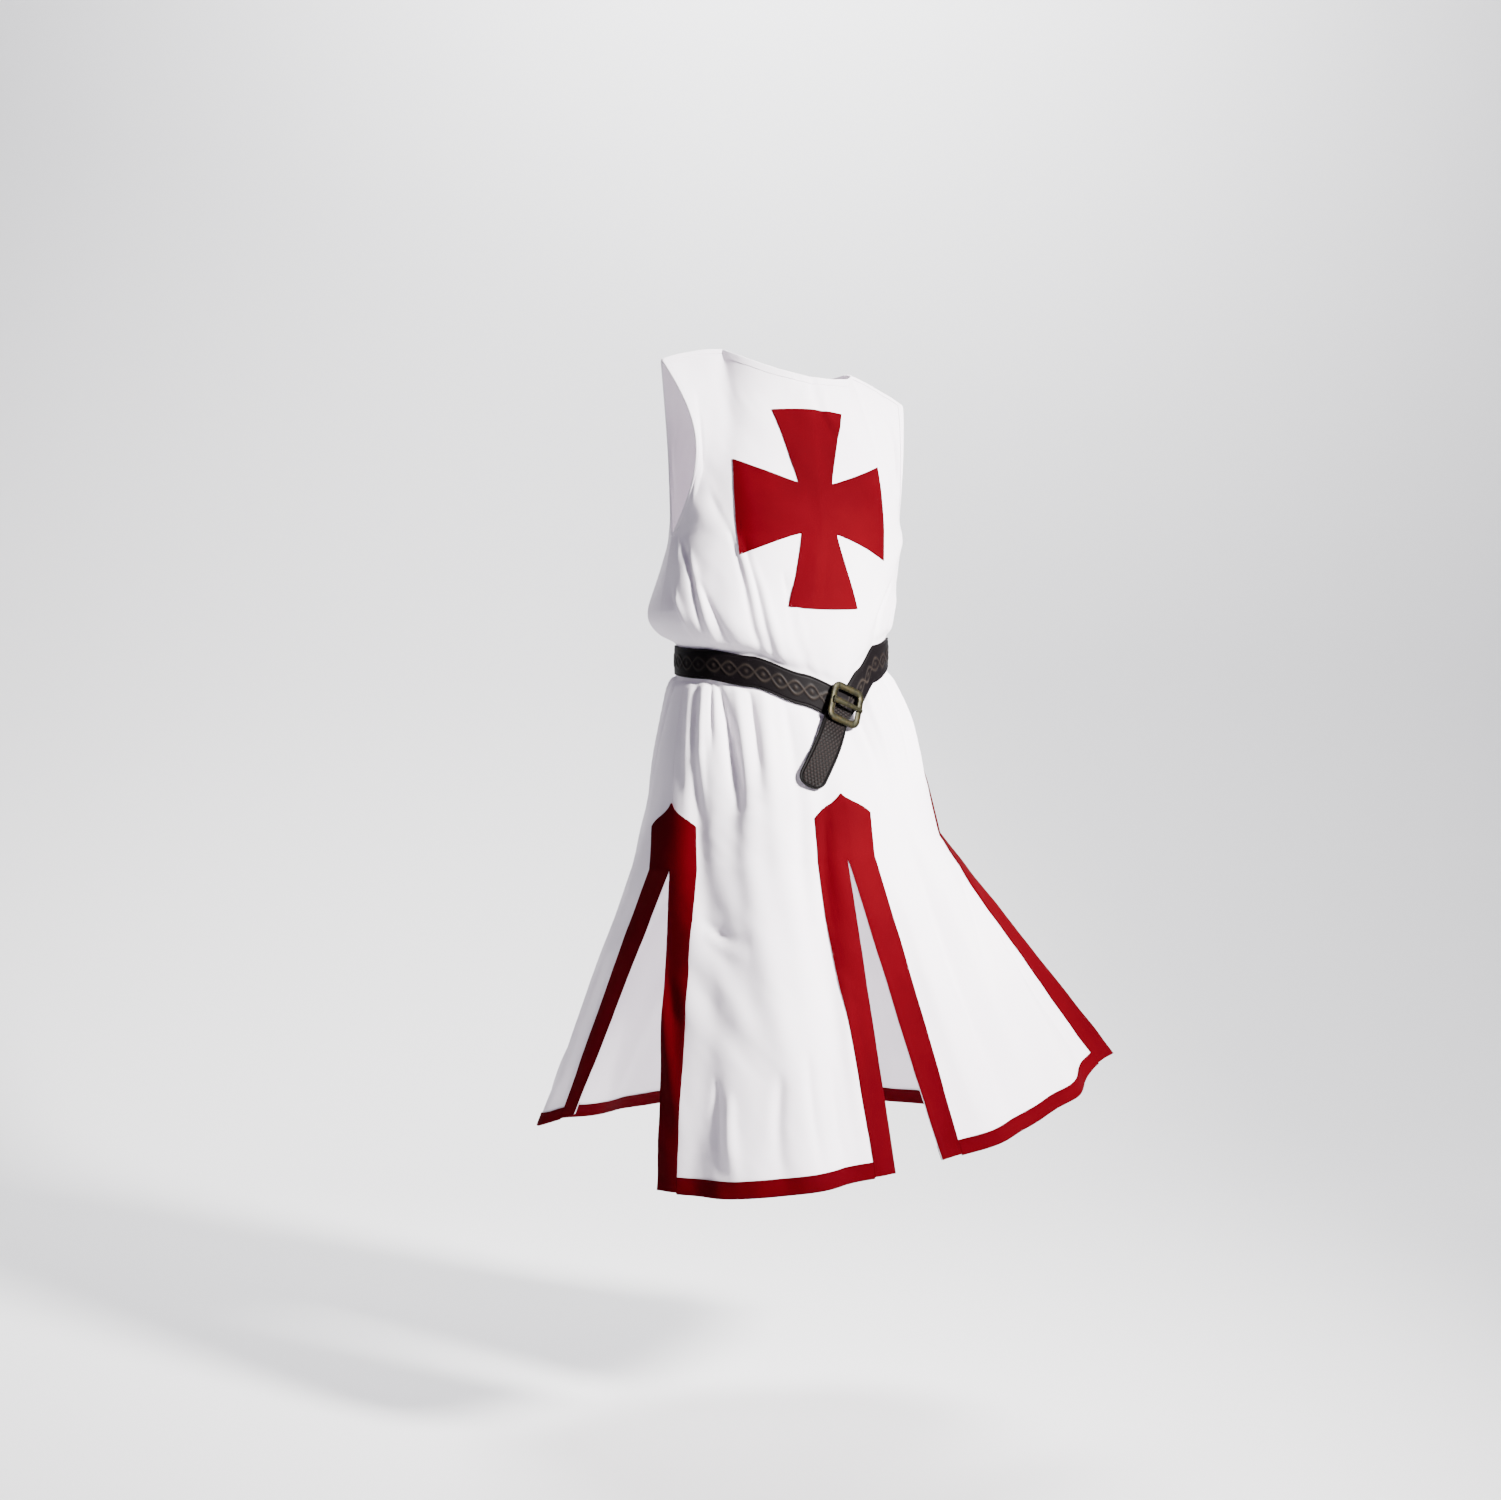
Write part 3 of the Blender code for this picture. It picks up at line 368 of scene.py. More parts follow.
PLACES = row_places()
SLIT_ROW = PLACES.index(SLIT_PLACE)


def place_row(name):
    return PLACES.index(NAMES.index(name))


def column_shares(length, inner_cells):
    """Shares of a row's length at its columns: a band's width in small cells at each end, even between."""
    band = BAND / length
    edge = np.linspace(0, band, BAND_CELLS + 1)
    inner = np.linspace(band, 1 - band, inner_cells + 1)
    return np.concatenate([edge, inner[1:-1], 1 - edge[::-1]])


def bump(fold, place):
    if not fold.start < place < fold.end:
        return 0
    span = fold.peak - fold.start if place < fold.peak else fold.end - fold.peak
    return 0.5 + 0.5 * math.cos(math.pi * (place - fold.peak) / span)


def unit(vectors):
    return vectors / np.maximum(np.linalg.norm(vectors, axis=-1, keepdims=True), 1e-12)


def hang(panel):
    """A panel's grid of points with its broad folds, and each point's place in the flat cut."""
    points, cut = [], []
    fallen = 0
    previous = None
    for place in PLACES:
        sample = plain_row(panel, np.linspace(0, 1, 33), place)
        length = np.linalg.norm(np.diff(sample, axis=0), axis=1).sum()
        share = column_shares(length, PANELS[panel].inner_cells)
        row = plain_row(panel, share, place)
        across = np.gradient(row, axis=0)
        outward = unit(np.stack([-across[:, 1], across[:, 0], 0 * across[:, 0]], 1)) * PANELS[panel].turn
        height = np.zeros(len(share))
        for fold in FOLDS:
            if fold.panel == panel:
                run = (place - fold.start) / (min(fold.end, HEM_PLACE) - fold.start)
                offset = (share - fold.share_top - (fold.share_low - fold.share_top) * run) * length
                height += fold.height * bump(fold, place) * np.exp(-((offset / fold.width) ** 2))
        middle = len(share) // 2
        fallen += 0 if previous is None else np.linalg.norm(row[middle] - previous)
        previous = row[middle]
        points.append(row + outward * height[:, None])
        hand = {"front_right": -share, "front_left": share, "back": share - 0.5}[panel]
        cut.append(np.stack([hand * length, np.full(len(share), -fallen)], 1))
    return np.array(points), np.array(cut)


def normals_of(points, turn):
    across = np.gradient(points, axis=1)
    down = np.gradient(points, axis=0)
    return unit(np.cross(across, down)) * turn


CREASE_PAST = 0.12  # how far a crease runs past its two ends, as it fades


def press(points, cut, creases):
    """Presses creases into a grid: each a soft trough or ridge that fades out at both its ends."""
    height = np.zeros(points.shape[:2])
    across, z = cut[..., 0], points[..., 2]
    for crease in creases:
        run_x, run_z = crease.across_low - crease.across_top, crease.z_low - crease.z_top
        long = math.hypot(run_x, run_z)
        along = ((across - crease.across_top) * run_x + (z - crease.z_top) * run_z) / long ** 2
        beside = ((across - crease.across_top) * run_z - (z - crease.z_top) * run_x) / long
        beside = beside - crease.bow * np.sin(math.pi * np.clip(along, 0, 1))
        share = np.clip((along + CREASE_PAST) / (1 + 2 * CREASE_PAST), 0, 1)
        fade = np.sin(math.pi * share ** 0.8) ** 0.8
        width = crease.width * (0.75 + 0.5 * share)
        height += crease.height * fade * np.exp(-((beside / width) ** 2))
    return height


WAVES, WAVE_PITCHES, WAVE_LEAN, WAVE_HEIGHT = 26, (0.018, 0.110), 0.45, 0.0042


def ripple(points, cut, seed):
    """The faint unevenness of worn cotton: many long, shallow waves that run mostly down the cloth."""
    rng = np.random.default_rng(seed)
    height = np.zeros(points.shape[:2])
    for _ in range(WAVES):
        pitch = rng.uniform(*WAVE_PITCHES)
        lean = rng.normal(0, WAVE_LEAN)
        phase = rng.uniform(0, 2 * math.pi, 2)
        distance = cut[..., 0] * math.cos(lean) + cut[..., 1] * math.sin(lean)
        wave = np.sin(2 * math.pi * distance / pitch + phase[0])
        patch = 0.5 + 0.5 * np.sin(2 * math.pi * cut[..., 1] / (pitch * 4.5) + cut[..., 0] * 9 + phase[1])
        height += WAVE_HEIGHT * pitch * wave * patch ** 2
    return height


def quiet_places(shape):
    """How free each row is to crease: held still under the belt."""
    place = np.array(PLACES)
    belt = NAMES.index("belt top") + 0.5
    free = np.clip((np.abs(place - belt) - 0.45) / 0.55, 0, 1)
    return np.repeat((free * free * (3 - 2 * free))[:, None], shape[1], 1)


def seam_quiet(cells, at_start, at_end):
    """How free each column is: still at a seam, free elsewhere. Below the slits every edge is free."""
    column = np.arange(cells)
    free = np.ones((len(PLACES), cells))
    if at_start:
        free *= np.clip(column / BAND_CELLS, 0, 1)[None, :]
    if at_end:
        free *= np.clip((cells - 1 - column) / BAND_CELLS, 0, 1)[None, :]
    row = np.arange(len(PLACES))[:, None]
    return np.where(row > SLIT_ROW, free + (1 - free) * np.clip((row - SLIT_ROW) / 12, 0, 1), free)


PRESS_HEIGHTS = (-0.68, -0.60, -0.46, -0.42)
PRESS = (1.60, 1.50, 1.50, 1.05)  # how hard the creases are pressed in at each of those heights
SOFTEN_PASSES, SOFTEN_ROWS = 90, 9
SOFTEN_FADE = 16  # rows over which the easing ends again


def soften_yoke(points):
    """Eases the fold that the neck's corner would print down the yoke; the neck and shoulder edge stay."""
    rows = PLACES.index(0.0) + 12
    row = np.arange(rows)
    weight = np.clip(row / SOFTEN_ROWS, 0, 1) * np.clip((rows - row) / SOFTEN_FADE, 0, 1)
    eased = points.copy()
    for _ in range(SOFTEN_PASSES):
        middle = (eased[:rows, :-2] + eased[:rows, 2:]) / 2 - eased[:rows, 1:-1]
        eased[:rows, 1:-1] += 0.5 * weight[:, None, None] * middle
    return eased


def shape_panel(panel, creases, seed):
    points, cut = hang(panel)
    points = soften_yoke(points)
    normals = normals_of(points, PANELS[panel].turn)
    height = press(points, cut, creases) * np.interp(points[..., 2], PRESS_HEIGHTS, PRESS)
    height += ripple(points, cut, seed)
    height *= quiet_places(points.shape) * seam_quiet(points.shape[1], panel == "back", True)
    return points + normals * height[..., None], cut


def grid_faces(rows, columns, turn):
    index = np.arange(rows * columns).reshape(rows, columns)
    a, b, c, d = index[:-1, :-1], index[1:, :-1], index[1:, 1:], index[:-1, 1:]
    quads = np.stack([a, b, c, d], -1).reshape(-1, 4)
    return quads[:, ::-1] if turn > 0 else quads


SHARP_EDGE = math.radians(52)


def make_mesh(name, points, faces, cut=None):
    """A named object from points and faces, with the flat cut, in metres, as its UV map."""
    mesh = bpy.data.meshes.new(name)
    mesh.from_pydata([tuple(p) for p in points], [], [tuple(int(i) for i in f) for f in faces])
    mesh.update()
    if cut is not None:
        corner = np.zeros(len(mesh.loops), dtype=np.int64)
        mesh.loops.foreach_get("vertex_index", corner)
        layer = mesh.uv_layers.new(name="cut")
        layer.uv.foreach_set("vector", cut[corner].astype(np.float32).ravel())
    mesh.shade_smooth()
    mesh.set_sharp_from_angle(angle=SHARP_EDGE)
    piece = bpy.data.objects.new(name, mesh)
    bpy.context.scene.collection.objects.link(piece)
    return piece


def thicken(name, points, normals, cut, faces, inner, outer):
    """A closed wall between two offsets of a sheet, with its edges closed."""
    count = len(points)
    used = np.unique(faces)
    lookup = np.full(count, -1)
    lookup[used] = np.arange(len(used))
    faces = lookup[faces]
    points, normals, cut = points[used], normals[used], cut[used]
    count = len(used)
    ends = np.concatenate([faces[:, [i, (i + 1) % 4]] for i in range(4)])
    code = ends[:, 0] * count + ends[:, 1]
    back_code = ends[:, 1] * count + ends[:, 0]
    edge = ends[~np.isin(code, back_code)]
    rim = np.stack([edge[:, 1], edge[:, 0], edge[:, 0] + count, edge[:, 1] + count], 1)
    everything = np.concatenate([faces, faces[:, ::-1] + count, rim])
    both = np.concatenate([points + normals * outer, points + normals * inner])
    return make_mesh(name, both, everything, np.concatenate([cut, cut]))


def joined_halves(first, second, joined_rows):
    """Two grids that start at a shared line, as one sheet: their first columns are one to joined_rows."""
    first_points, first_cut, first_turn = first
    second_points, second_cut, second_turn = second
    rows = first_points.shape[0]
    middle = (first_points[:joined_rows + 1, 0] + second_points[:joined_rows + 1, 0]) / 2
    first_points, second_points = first_points.copy(), second_points.copy()
    first_points[:joined_rows + 1, 0] = middle
    second_points[:joined_rows + 1, 0] = middle
    first_normals = normals_of(first_points, first_turn)
    second_normals = normals_of(second_points, second_turn)
    shared = unit(first_normals[:joined_rows + 1, 0] + second_normals[:joined_rows + 1, 0])
    first_normals[:joined_rows + 1, 0] = shared
    second_normals[:joined_rows + 1, 0] = shared
    count = rows * first_points.shape[1]
    second_faces = grid_faces(rows, second_points.shape[1], second_turn) + count
    columns = second_points.shape[1]
    swap = np.arange(count + rows * columns)
    start = np.arange(joined_rows + 1)
    swap[count + start * columns] = start * first_points.shape[1]
    faces = swap[np.concatenate([grid_faces(rows, first_points.shape[1], first_turn), second_faces])]
    flat = [np.concatenate([a.reshape(-1, a.shape[-1]), b.reshape(-1, b.shape[-1])]) for a, b in
            ((first_points, second_points), (first_normals, second_normals), (first_cut, second_cut))]
    return (*flat, faces), (first_points, first_normals), (second_points, second_normals)


right_points, right_cut = shape_panel("front_right", FRONT_CREASES, 3)
left_points, left_cut = shape_panel("front_left", FRONT_CREASES, 4)
back_points, back_cut = shape_panel("back", BACK_CREASES, 5)
sheet_of_front, right_half, left_half = joined_halves(
    (right_points, right_cut, 1), (left_points, left_cut, -1), SLIT_ROW)
front = thicken("front_cloth", *sheet_of_front, 0, CLOTH)
back_normals = normals_of(back_points, 1)
back_faces = grid_faces(*back_points.shape[:2], 1)
back = thicken("back_cloth", back_points.reshape(-1, 3), back_normals.reshape(-1, 3),
               back_cut.reshape(-1, 2), back_faces, 0, CLOTH)


def node(tree, kind, sockets, **settings):
    """A shader node whose sockets are each set to a value or linked to another node's output."""
    made = tree.nodes.new(kind)
    for name, value in settings.items():
        setattr(made, name, value)
    wire(tree, made, sockets)
    return made


def wire(tree, made, sockets):
    for name, value in sockets.items():
        if isinstance(value, bpy.types.NodeSocket):
            tree.links.new(value, made.inputs[name])
        else:
            made.inputs[name].default_value = value


def new_material(name, sockets):
    """A material, its node tree, its shader with some sockets set, and the place on the piece."""
    material = bpy.data.materials.new(name)
    material.use_nodes = True
    tree = material.node_tree
    shader = tree.nodes["Principled BSDF"]
    wire(tree, shader, sockets)
    place = node(tree, "ShaderNodeTexCoord", {}).outputs["Object"]
    return material, tree, shader, place


def woven(name, colour, deep, sheen, shine, pitch, rough):
    """Cotton twill: slanting ribs of fine yarn, small slubs, and slow changes of tone across the piece."""
    material, tree, shader, place = new_material(name, {
        "Sheen Weight": sheen, "Sheen Roughness": 0.5, "Specular IOR Level": shine})
    flat = node(tree, "ShaderNodeUVMap", {}, uv_map="cut")
    turned = node(tree, "ShaderNodeMapping", {
        "Rotation": (0, 0, math.radians(32)), "Vector": flat.outputs["UV"]})
    ribs = node(tree, "ShaderNodeTexWave", {
        "Scale": 1 / pitch / 3.2, "Distortion": 0.6, "Detail": 1.0, "Detail Scale": 2.0,
        "Vector": turned.outputs["Vector"]}, wave_type="BANDS", bands_direction="X", wave_profile="SIN")
    slubs = node(tree, "ShaderNodeTexNoise", {"Scale": 420, "Detail": 3, "Vector": place})
    cloud = node(tree, "ShaderNodeTexNoise", {"Scale": 6, "Detail": 4, "Vector": place})
    spread = node(tree, "ShaderNodeMapRange", {
        "From Min": 0.30, "From Max": 0.62, "Value": cloud.outputs["Fac"]})
    tone = node(tree, "ShaderNodeMix", {
        "A": (*deep, 1), "B": (*colour, 1), "Factor": spread.outputs["Result"]}, data_type="RGBA")
    yarn = node(tree, "ShaderNodeMix", {
        "Factor": 0.10, "A": tone.outputs["Result"], "B": ribs.outputs["Color"]},
        data_type="RGBA", blend_type="MULTIPLY")
    grain = node(tree, "ShaderNodeMath", {0: ribs.outputs["Fac"], 1: slubs.outputs["Fac"]}, operation="ADD")
    relief = node(tree, "ShaderNodeBump", {"Strength": 0.16, "Distance": 0.0004, "Height": grain.outputs[0]})
    dull = node(tree, "ShaderNodeMapRange", {
        "To Min": rough - 0.06, "To Max": rough + 0.06, "Value": slubs.outputs["Fac"]})
    wire(tree, shader, {"Base Color": yarn.outputs["Result"], "Normal": relief.outputs["Normal"],
                        "Roughness": dull.outputs["Result"]})
    return material


def dress(piece, material, slot, *replaced):
    """Gives a piece its material, and lets it stand for the plain solids it replaces. The slot is not used.
    """
    piece.data.materials.append(material)
    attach(piece, "root")
    if replaced:
        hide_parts(*replaced)


white_cotton = woven("white_cotton", (0.930, 0.870, 0.930), (0.885, 0.820, 0.890), 0.08, 0.15, 0.0011, 0.86)
dress(front, white_cotton, "white_cloth", "front")
dress(back, white_cotton, "white_cloth", "back")

# ----------------------------------------------------------------------------
# The slit bands. Straight strips of deep red cotton, 40 mm wide, laid down both edges of each slit and mitred
# over its upper end into a pointed head. They are sewn flat on the white cloth with a row of stitches at
# each edge.
# ----------------------------------------------------------------------------
RED = 0.0010
RED_LIFT = 0.0005
POINT_ROW = place_row("band point")
SHOULDER_ROW = place_row("band shoulder")


def on_grid(grid, rows, columns):
    """Points and normals between a grid's own, at fractional rows and columns."""
    points, normals = grid
    rows, columns = np.broadcast_arrays(np.asarray(rows, float), np.asarray(columns, float))
    r = np.clip(np.floor(rows).astype(int), 0, points.shape[0] - 2)
    c = np.clip(np.floor(columns).astype(int), 0, points.shape[1] - 2)
    u, v = (rows - r)[..., None], (columns - c)[..., None]
    found = []
    for field in (points, normals):
        top = field[r, c] * (1 - v) + field[r, c + 1] * v
        low = field[r + 1, c] * (1 - v) + field[r + 1, c + 1] * v
        found.append(top * (1 - u) + low * u)
    return found[0], unit(found[1])


def band_leg(grid, from_far_edge):
    """One leg of a slit band: rows from its point to the hem, columns from the slit's edge outwards."""
    rows = np.arange(POINT_ROW, len(PLACES))
    width = np.clip((rows - POINT_ROW) / (SHOULDER_ROW - POINT_ROW), 0.02, 1)
    steps = np.linspace(0, BAND_CELLS, 2 * BAND_CELLS + 1)
    columns = width[:, None] * steps[None, :]
    if from_far_edge:
        columns = grid[0].shape[1] - 1 - columns
    points, _ = on_grid(grid, rows[:, None], columns)
    drop = np.concatenate([[0], np.cumsum(np.linalg.norm(np.diff(points[:, -1], axis=0), axis=1))])
    across = width[:, None] * steps[None, :] / BAND_CELLS * BAND
    cut = np.stack(np.broadcast_arrays(across, -drop[:, None]), -1)
    return points, cut


def slit_band(name, first, second, turns):
    joined, first_grid, second_grid = joined_halves(
        (*first, turns[0]), (*second, turns[1]), SLIT_ROW - POINT_ROW)
    band = thicken(name, *joined, CLOTH + RED_LIFT, CLOTH + RED_LIFT + RED)
    return band, first_grid, second_grid


back_grid = (back_points, back_normals)
BANDS = (
    ("front_slit", band_leg(right_half, False), band_leg(left_half, False), (1, -1)),
    ("right_slit", band_leg(back_grid, False), band_leg(right_half, True), (1, -1)),
    ("left_slit", band_leg(left_half, True), band_leg(back_grid, True), (1, -1)),
)
red_cotton = woven("red_cotton", (0.064, 0.0001, 0.0024), (0.046, 0.0001, 0.0017), 0.0, 0.02, 0.0010, 0.80)
bands = {}
for place, first, second, turns in BANDS:
    bands[place] = slit_band(f"band_{place}", first, second, turns)
    dress(bands[place][0], red_cotton, "red_cloth", f"trim_{place}")

# ----------------------------------------------------------------------------
# The hem bindings. Narrow strips of the same red cotton, folded in half over the lower edge of each panel and
# sewn through, so the red shows on the inside too. They stop against the slit bands, whose turned-up ends
# face the corners inside.
# ----------------------------------------------------------------------------
BINDING_LIFT = 0.0006
LEAF_STEPS = 6
BEND_STEPS = 7


def lay_out(along, around):
    """The flat cut of a grid, from its distances along and around."""
    return np.stack(np.broadcast_arrays(along[:, None], around[None, :]), -1)


def lofted(name, rings, closed, cut):
    """A solid through like rings of points, joined end to end or closed by a face at each end."""
    stations, count = rings.shape[:2]
    index = np.arange(stations * count).reshape(stations, count)
    if closed:
        index = np.concatenate([index, index[:1]])
    beside = np.roll(index, -1, axis=1)
    faces = list(np.stack([index[:-1], index[1:], beside[1:], beside[:-1]], -1).reshape(-1, 4))
    if not closed:
        faces += [index[0], index[-1][::-1]]
    piece = make_mesh(name, rings.reshape(-1, 3), faces, cut.reshape(-1, 2))
    work = bmesh.new()
    work.from_mesh(piece.data)
    bmesh.ops.recalc_face_normals(work, faces=work.faces)
    work.to_mesh(piece.data)
    work.free()
    return piece


def folded_strip(name, leaf, leaf_normals, outer, inner, wall):
    """A strip folded over an edge: leaf runs at each station from the strip's edge to the cloth's edge."""
    edge, edge_normal = leaf[:, -1], leaf_normals[:, -1]
    off = unit(leaf[:, -1] - leaf[:, -2])
    centre, half = (outer + inner) / 2, (outer - inner) / 2
    layers = []
    for extra in (wall, 0):
        side = [leaf[:, i] + leaf_normals[:, i] * (outer + extra) for i in range(leaf.shape[1])]
        for turn in np.linspace(0, math.pi, BEND_STEPS)[1:-1]:
            out = centre + (half + extra) * math.cos(turn)
            side.append(edge + edge_normal * out + off * (half + extra) * math.sin(turn))
        side += [leaf[:, i] + leaf_normals[:, i] * (inner - extra) for i in reversed(range(leaf.shape[1]))]
        layers.append(side if extra else side[::-1])
    rings = np.array(layers[0] + layers[1]).transpose(1, 0, 2)
    along = np.concatenate([[0], np.cumsum(np.linalg.norm(np.diff(edge, axis=0), axis=1))])
    around = np.concatenate([[0], np.cumsum(np.linalg.norm(np.diff(rings[0], axis=0), axis=1))])
    return lofted(name, rings, False, lay_out(along, around))


def binding(name, grid, low_column, high_column):
    """A strip folded round the hem between two columns of a panel."""
    last = grid[0].shape[0] - 1
    rows = np.linspace(last - HEM_ROWS, last, LEAF_STEPS)
    columns = np.linspace(low_column, high_column, int((high_column - low_column) * 1.5) + 1)
    leaf, leaf_normals = on_grid(grid, rows[None, :], columns[:, None])
    return folded_strip(name, leaf, leaf_normals, CLOTH + BINDING_LIFT, -BINDING_LIFT, RED)


FRONT_COLUMNS = right_half[0].shape[1] - 1
BACK_COLUMNS = back_points.shape[1] - 1
BINDINGS = (
    ("front_right", right_half, FRONT_COLUMNS),
    ("front_left", left_half, FRONT_COLUMNS),
    ("back", back_grid, BACK_COLUMNS),
)
FACING_IN = 0.02  # cells between a facing's end and the slit's edge


def corner_facing(name, place, grid, low):
    """The turned-up end of a slit band, inside the hem."""
    rows = np.linspace(grid[0].shape[0] - 1 - HEM_ROWS, grid[0].shape[0] - 1, LEAF_STEPS)
    across = np.linspace(low, low + BAND_CELLS - FACING_IN, 2 * BAND_CELLS + 1)
    points, normals = on_grid(grid, rows[:, None], across[None, :])
    faces = grid_faces(*points.shape[:2], PANELS[place].turn)
    flat = np.stack(np.broadcast_arrays(across[None, :] / BAND_CELLS * BAND,
                                        rows[:, None] / HEM_ROWS * HEM_BAND), -1)
    return thicken(name, points.reshape(-1, 3), normals.reshape(-1, 3), flat.reshape(-1, 2), faces,
                   -BINDING_LIFT - RED, -BINDING_LIFT)


bindings = {}
corner_facings = [corner_facing(f"facing_{place}_{side}", place, grid, low)
                  for place, grid, columns in BINDINGS
                  for side, low in (("right", FACING_IN), ("left", columns - BAND_CELLS))]
for piece in corner_facings:
    dress(piece, red_cotton, "red_cloth")
for place, grid, columns in BINDINGS:
    bindings[place] = binding(f"binding_{place}", grid, BAND_CELLS + 0.1, columns - BAND_CELLS - 0.1)
    dress(bindings[place], red_cotton, "red_cloth", f"hem_{place}")

# ----------------------------------------------------------------------------
# The cross. A generic flared cross cut from one piece of the deep red cotton, its raw edges turned under, and
# sewn flat on the chest.
# ----------------------------------------------------------------------------
CROSS_X, CROSS_Z = -0.004, -0.220
Arm = namedtuple("Arm", "inner_half outer_half inner_reach outer_reach bow")
UPRIGHT = Arm(0.0255, 0.0525, 0.035, 0.135, 0.003)
CROSSBAR = Arm(0.035, 0.0655, 0.0255, 0.1075, 0.002)
ARM_POWER = 1.15
CROSS_STEP = 0.0035


def cross_patches():
    """The cross as five grids in the plane of the chest: the centre and four flared arms."""
    def arm_grid(arm, out, side):
        along = int((arm.outer_reach - arm.inner_reach) / CROSS_STEP)
        beside = 2 * int(arm.outer_half / CROSS_STEP)
        grid = []
        for i in range(along + 1):
            s = i / along
            half = arm.inner_half + (arm.outer_half - arm.inner_half) * s ** ARM_POWER
            for j in range(beside + 1):
                t = 2 * j / beside - 1
                reach = arm.inner_reach + (arm.outer_reach - arm.inner_reach + arm.bow * (1 - t * t)) * s
                grid.append((side[0] * half * t + out[0] * reach, side[1] * half * t + out[1] * reach))
        return np.array(grid).reshape(along + 1, beside + 1, 2)

    arms = [arm_grid(UPRIGHT, (0, 1), (-1, 0)), arm_grid(UPRIGHT, (0, -1), (1, 0)),
            arm_grid(CROSSBAR, (1, 0), (0, 1)), arm_grid(CROSSBAR, (-1, 0), (0, -1))]
    wide, tall = arms[0].shape[1], arms[2].shape[1]
    x = np.linspace(-UPRIGHT.inner_half, UPRIGHT.inner_half, wide)
    z = np.linspace(CROSSBAR.inner_half, -CROSSBAR.inner_half, tall)
    centre = np.stack(np.meshgrid(x, z), -1)
    return [centre] + arms


def chest_lookup():
    """The front's grid as one surface over the plane X, Z, to be read at any width and height."""
    top, low = 0, place_row("over belt") + 2
    points = np.concatenate([right_half[0][top:low, ::-1], left_half[0][top:low, 1:]], 1)
    normals = np.concatenate([right_half[1][top:low, ::-1], left_half[1][top:low, 1:]], 1)
    rows, columns = points.shape[:2]
    quads = grid_faces(rows, columns, -1)
    flat = points.reshape(-1, 3)
    tree = BVHTree.FromPolygons([tuple(p) for p in flat], [tuple(int(i) for i in q) for q in quads])
    return tree, flat, normals.reshape(-1, 3), quads


def on_chest(x, z, lookup):
    tree, flat, normals, quads = lookup
    hit, _, face, _ = tree.ray_cast((x, -1.0, z), (0, 1, 0))
    corners = quads[face]
    away = np.linalg.norm(flat[corners] - np.array(hit), axis=1) + 1e-6
    weight = (1 / away) / (1 / away).sum()
    return np.array(hit), unit((normals[corners] * weight[:, None]).sum(0))


lookup = chest_lookup()
cross_points, cross_normals, cross_cut, cross_faces = [], [], [], []
found = {}
for patch in cross_patches():
    rows, columns = patch.shape[:2]
    index = np.zeros((rows, columns), dtype=int)
    for i in range(rows):
        for j in range(columns):
            x, z = patch[i, j]
            key = (round(x * 1e5), round(z * 1e5))
            if key not in found:
                found[key] = len(cross_points)
                point, normal = on_chest(CROSS_X + x, CROSS_Z + z, lookup)
                cross_points.append(point)
                cross_normals.append(normal)
                cross_cut.append((x, z))
            index[i, j] = found[key]
    for quad in index.ravel()[grid_faces(rows, columns, -1)]:
        a, b, c = (np.array(cross_cut[i]) for i in quad[:3])
        area = (b - a)[0] * (c - b)[1] - (b - a)[1] * (c - b)[0]
        cross_faces.append(quad if area > 0 else quad[::-1])
cross = thicken("cross_applique", np.array(cross_points), np.array(cross_normals), np.array(cross_cut),
                np.array(cross_faces), CLOTH + RED_LIFT, CLOTH + RED_LIFT + RED)
dress(cross, red_cotton, "red_cloth", "cross")

# ----------------------------------------------------------------------------
# Turned hems and the shoulder seams. The neck and the armholes are turned to the inside in a narrow hem; the
# shoulders are closed with a flat-felled seam. All in the same white cotton.
# ----------------------------------------------------------------------------
TURNED = 0.0007
TURNED_LIFT = 0.0002
NECK_LEAF = 1.7
ARM_LEAF = 1.4
SEAM_LEAF = 1.1
SEAM_STATIONS = 40


def column_at(points, x):
    """The fractional column of a panel's top row at a width."""
    top = points[0, :, 0]
    order = np.argsort(top)
    return np.interp(x, top[order], order.astype(float))


def neck_hem(name, grid, xs):
    columns = column_at(grid[0], xs)
    rows = np.linspace(NECK_LEAF, 0, LEAF_STEPS)
    leaf, leaf_normals = on_grid(grid, rows[None, :], columns[:, None])
    return folded_strip(name, leaf, leaf_normals, CLOTH + TURNED_LIFT, -TURNED_LIFT, TURNED)


def armhole_hem(name, grid, last_column):
    rows = np.arange(0.4, place_row("armhole") + 0.1, 0.5)
    inwards = -1 if last_column else 1
    edge = grid[0].shape[1] - 1 if last_column else 0
    columns = edge + inwards * np.linspace(ARM_LEAF, 0, LEAF_STEPS)
    leaf, leaf_normals = on_grid(grid, rows[:, None], columns[None, :])
    return folded_strip(name, leaf, leaf_normals, CLOTH + TURNED_LIFT, -TURNED_LIFT, TURNED)


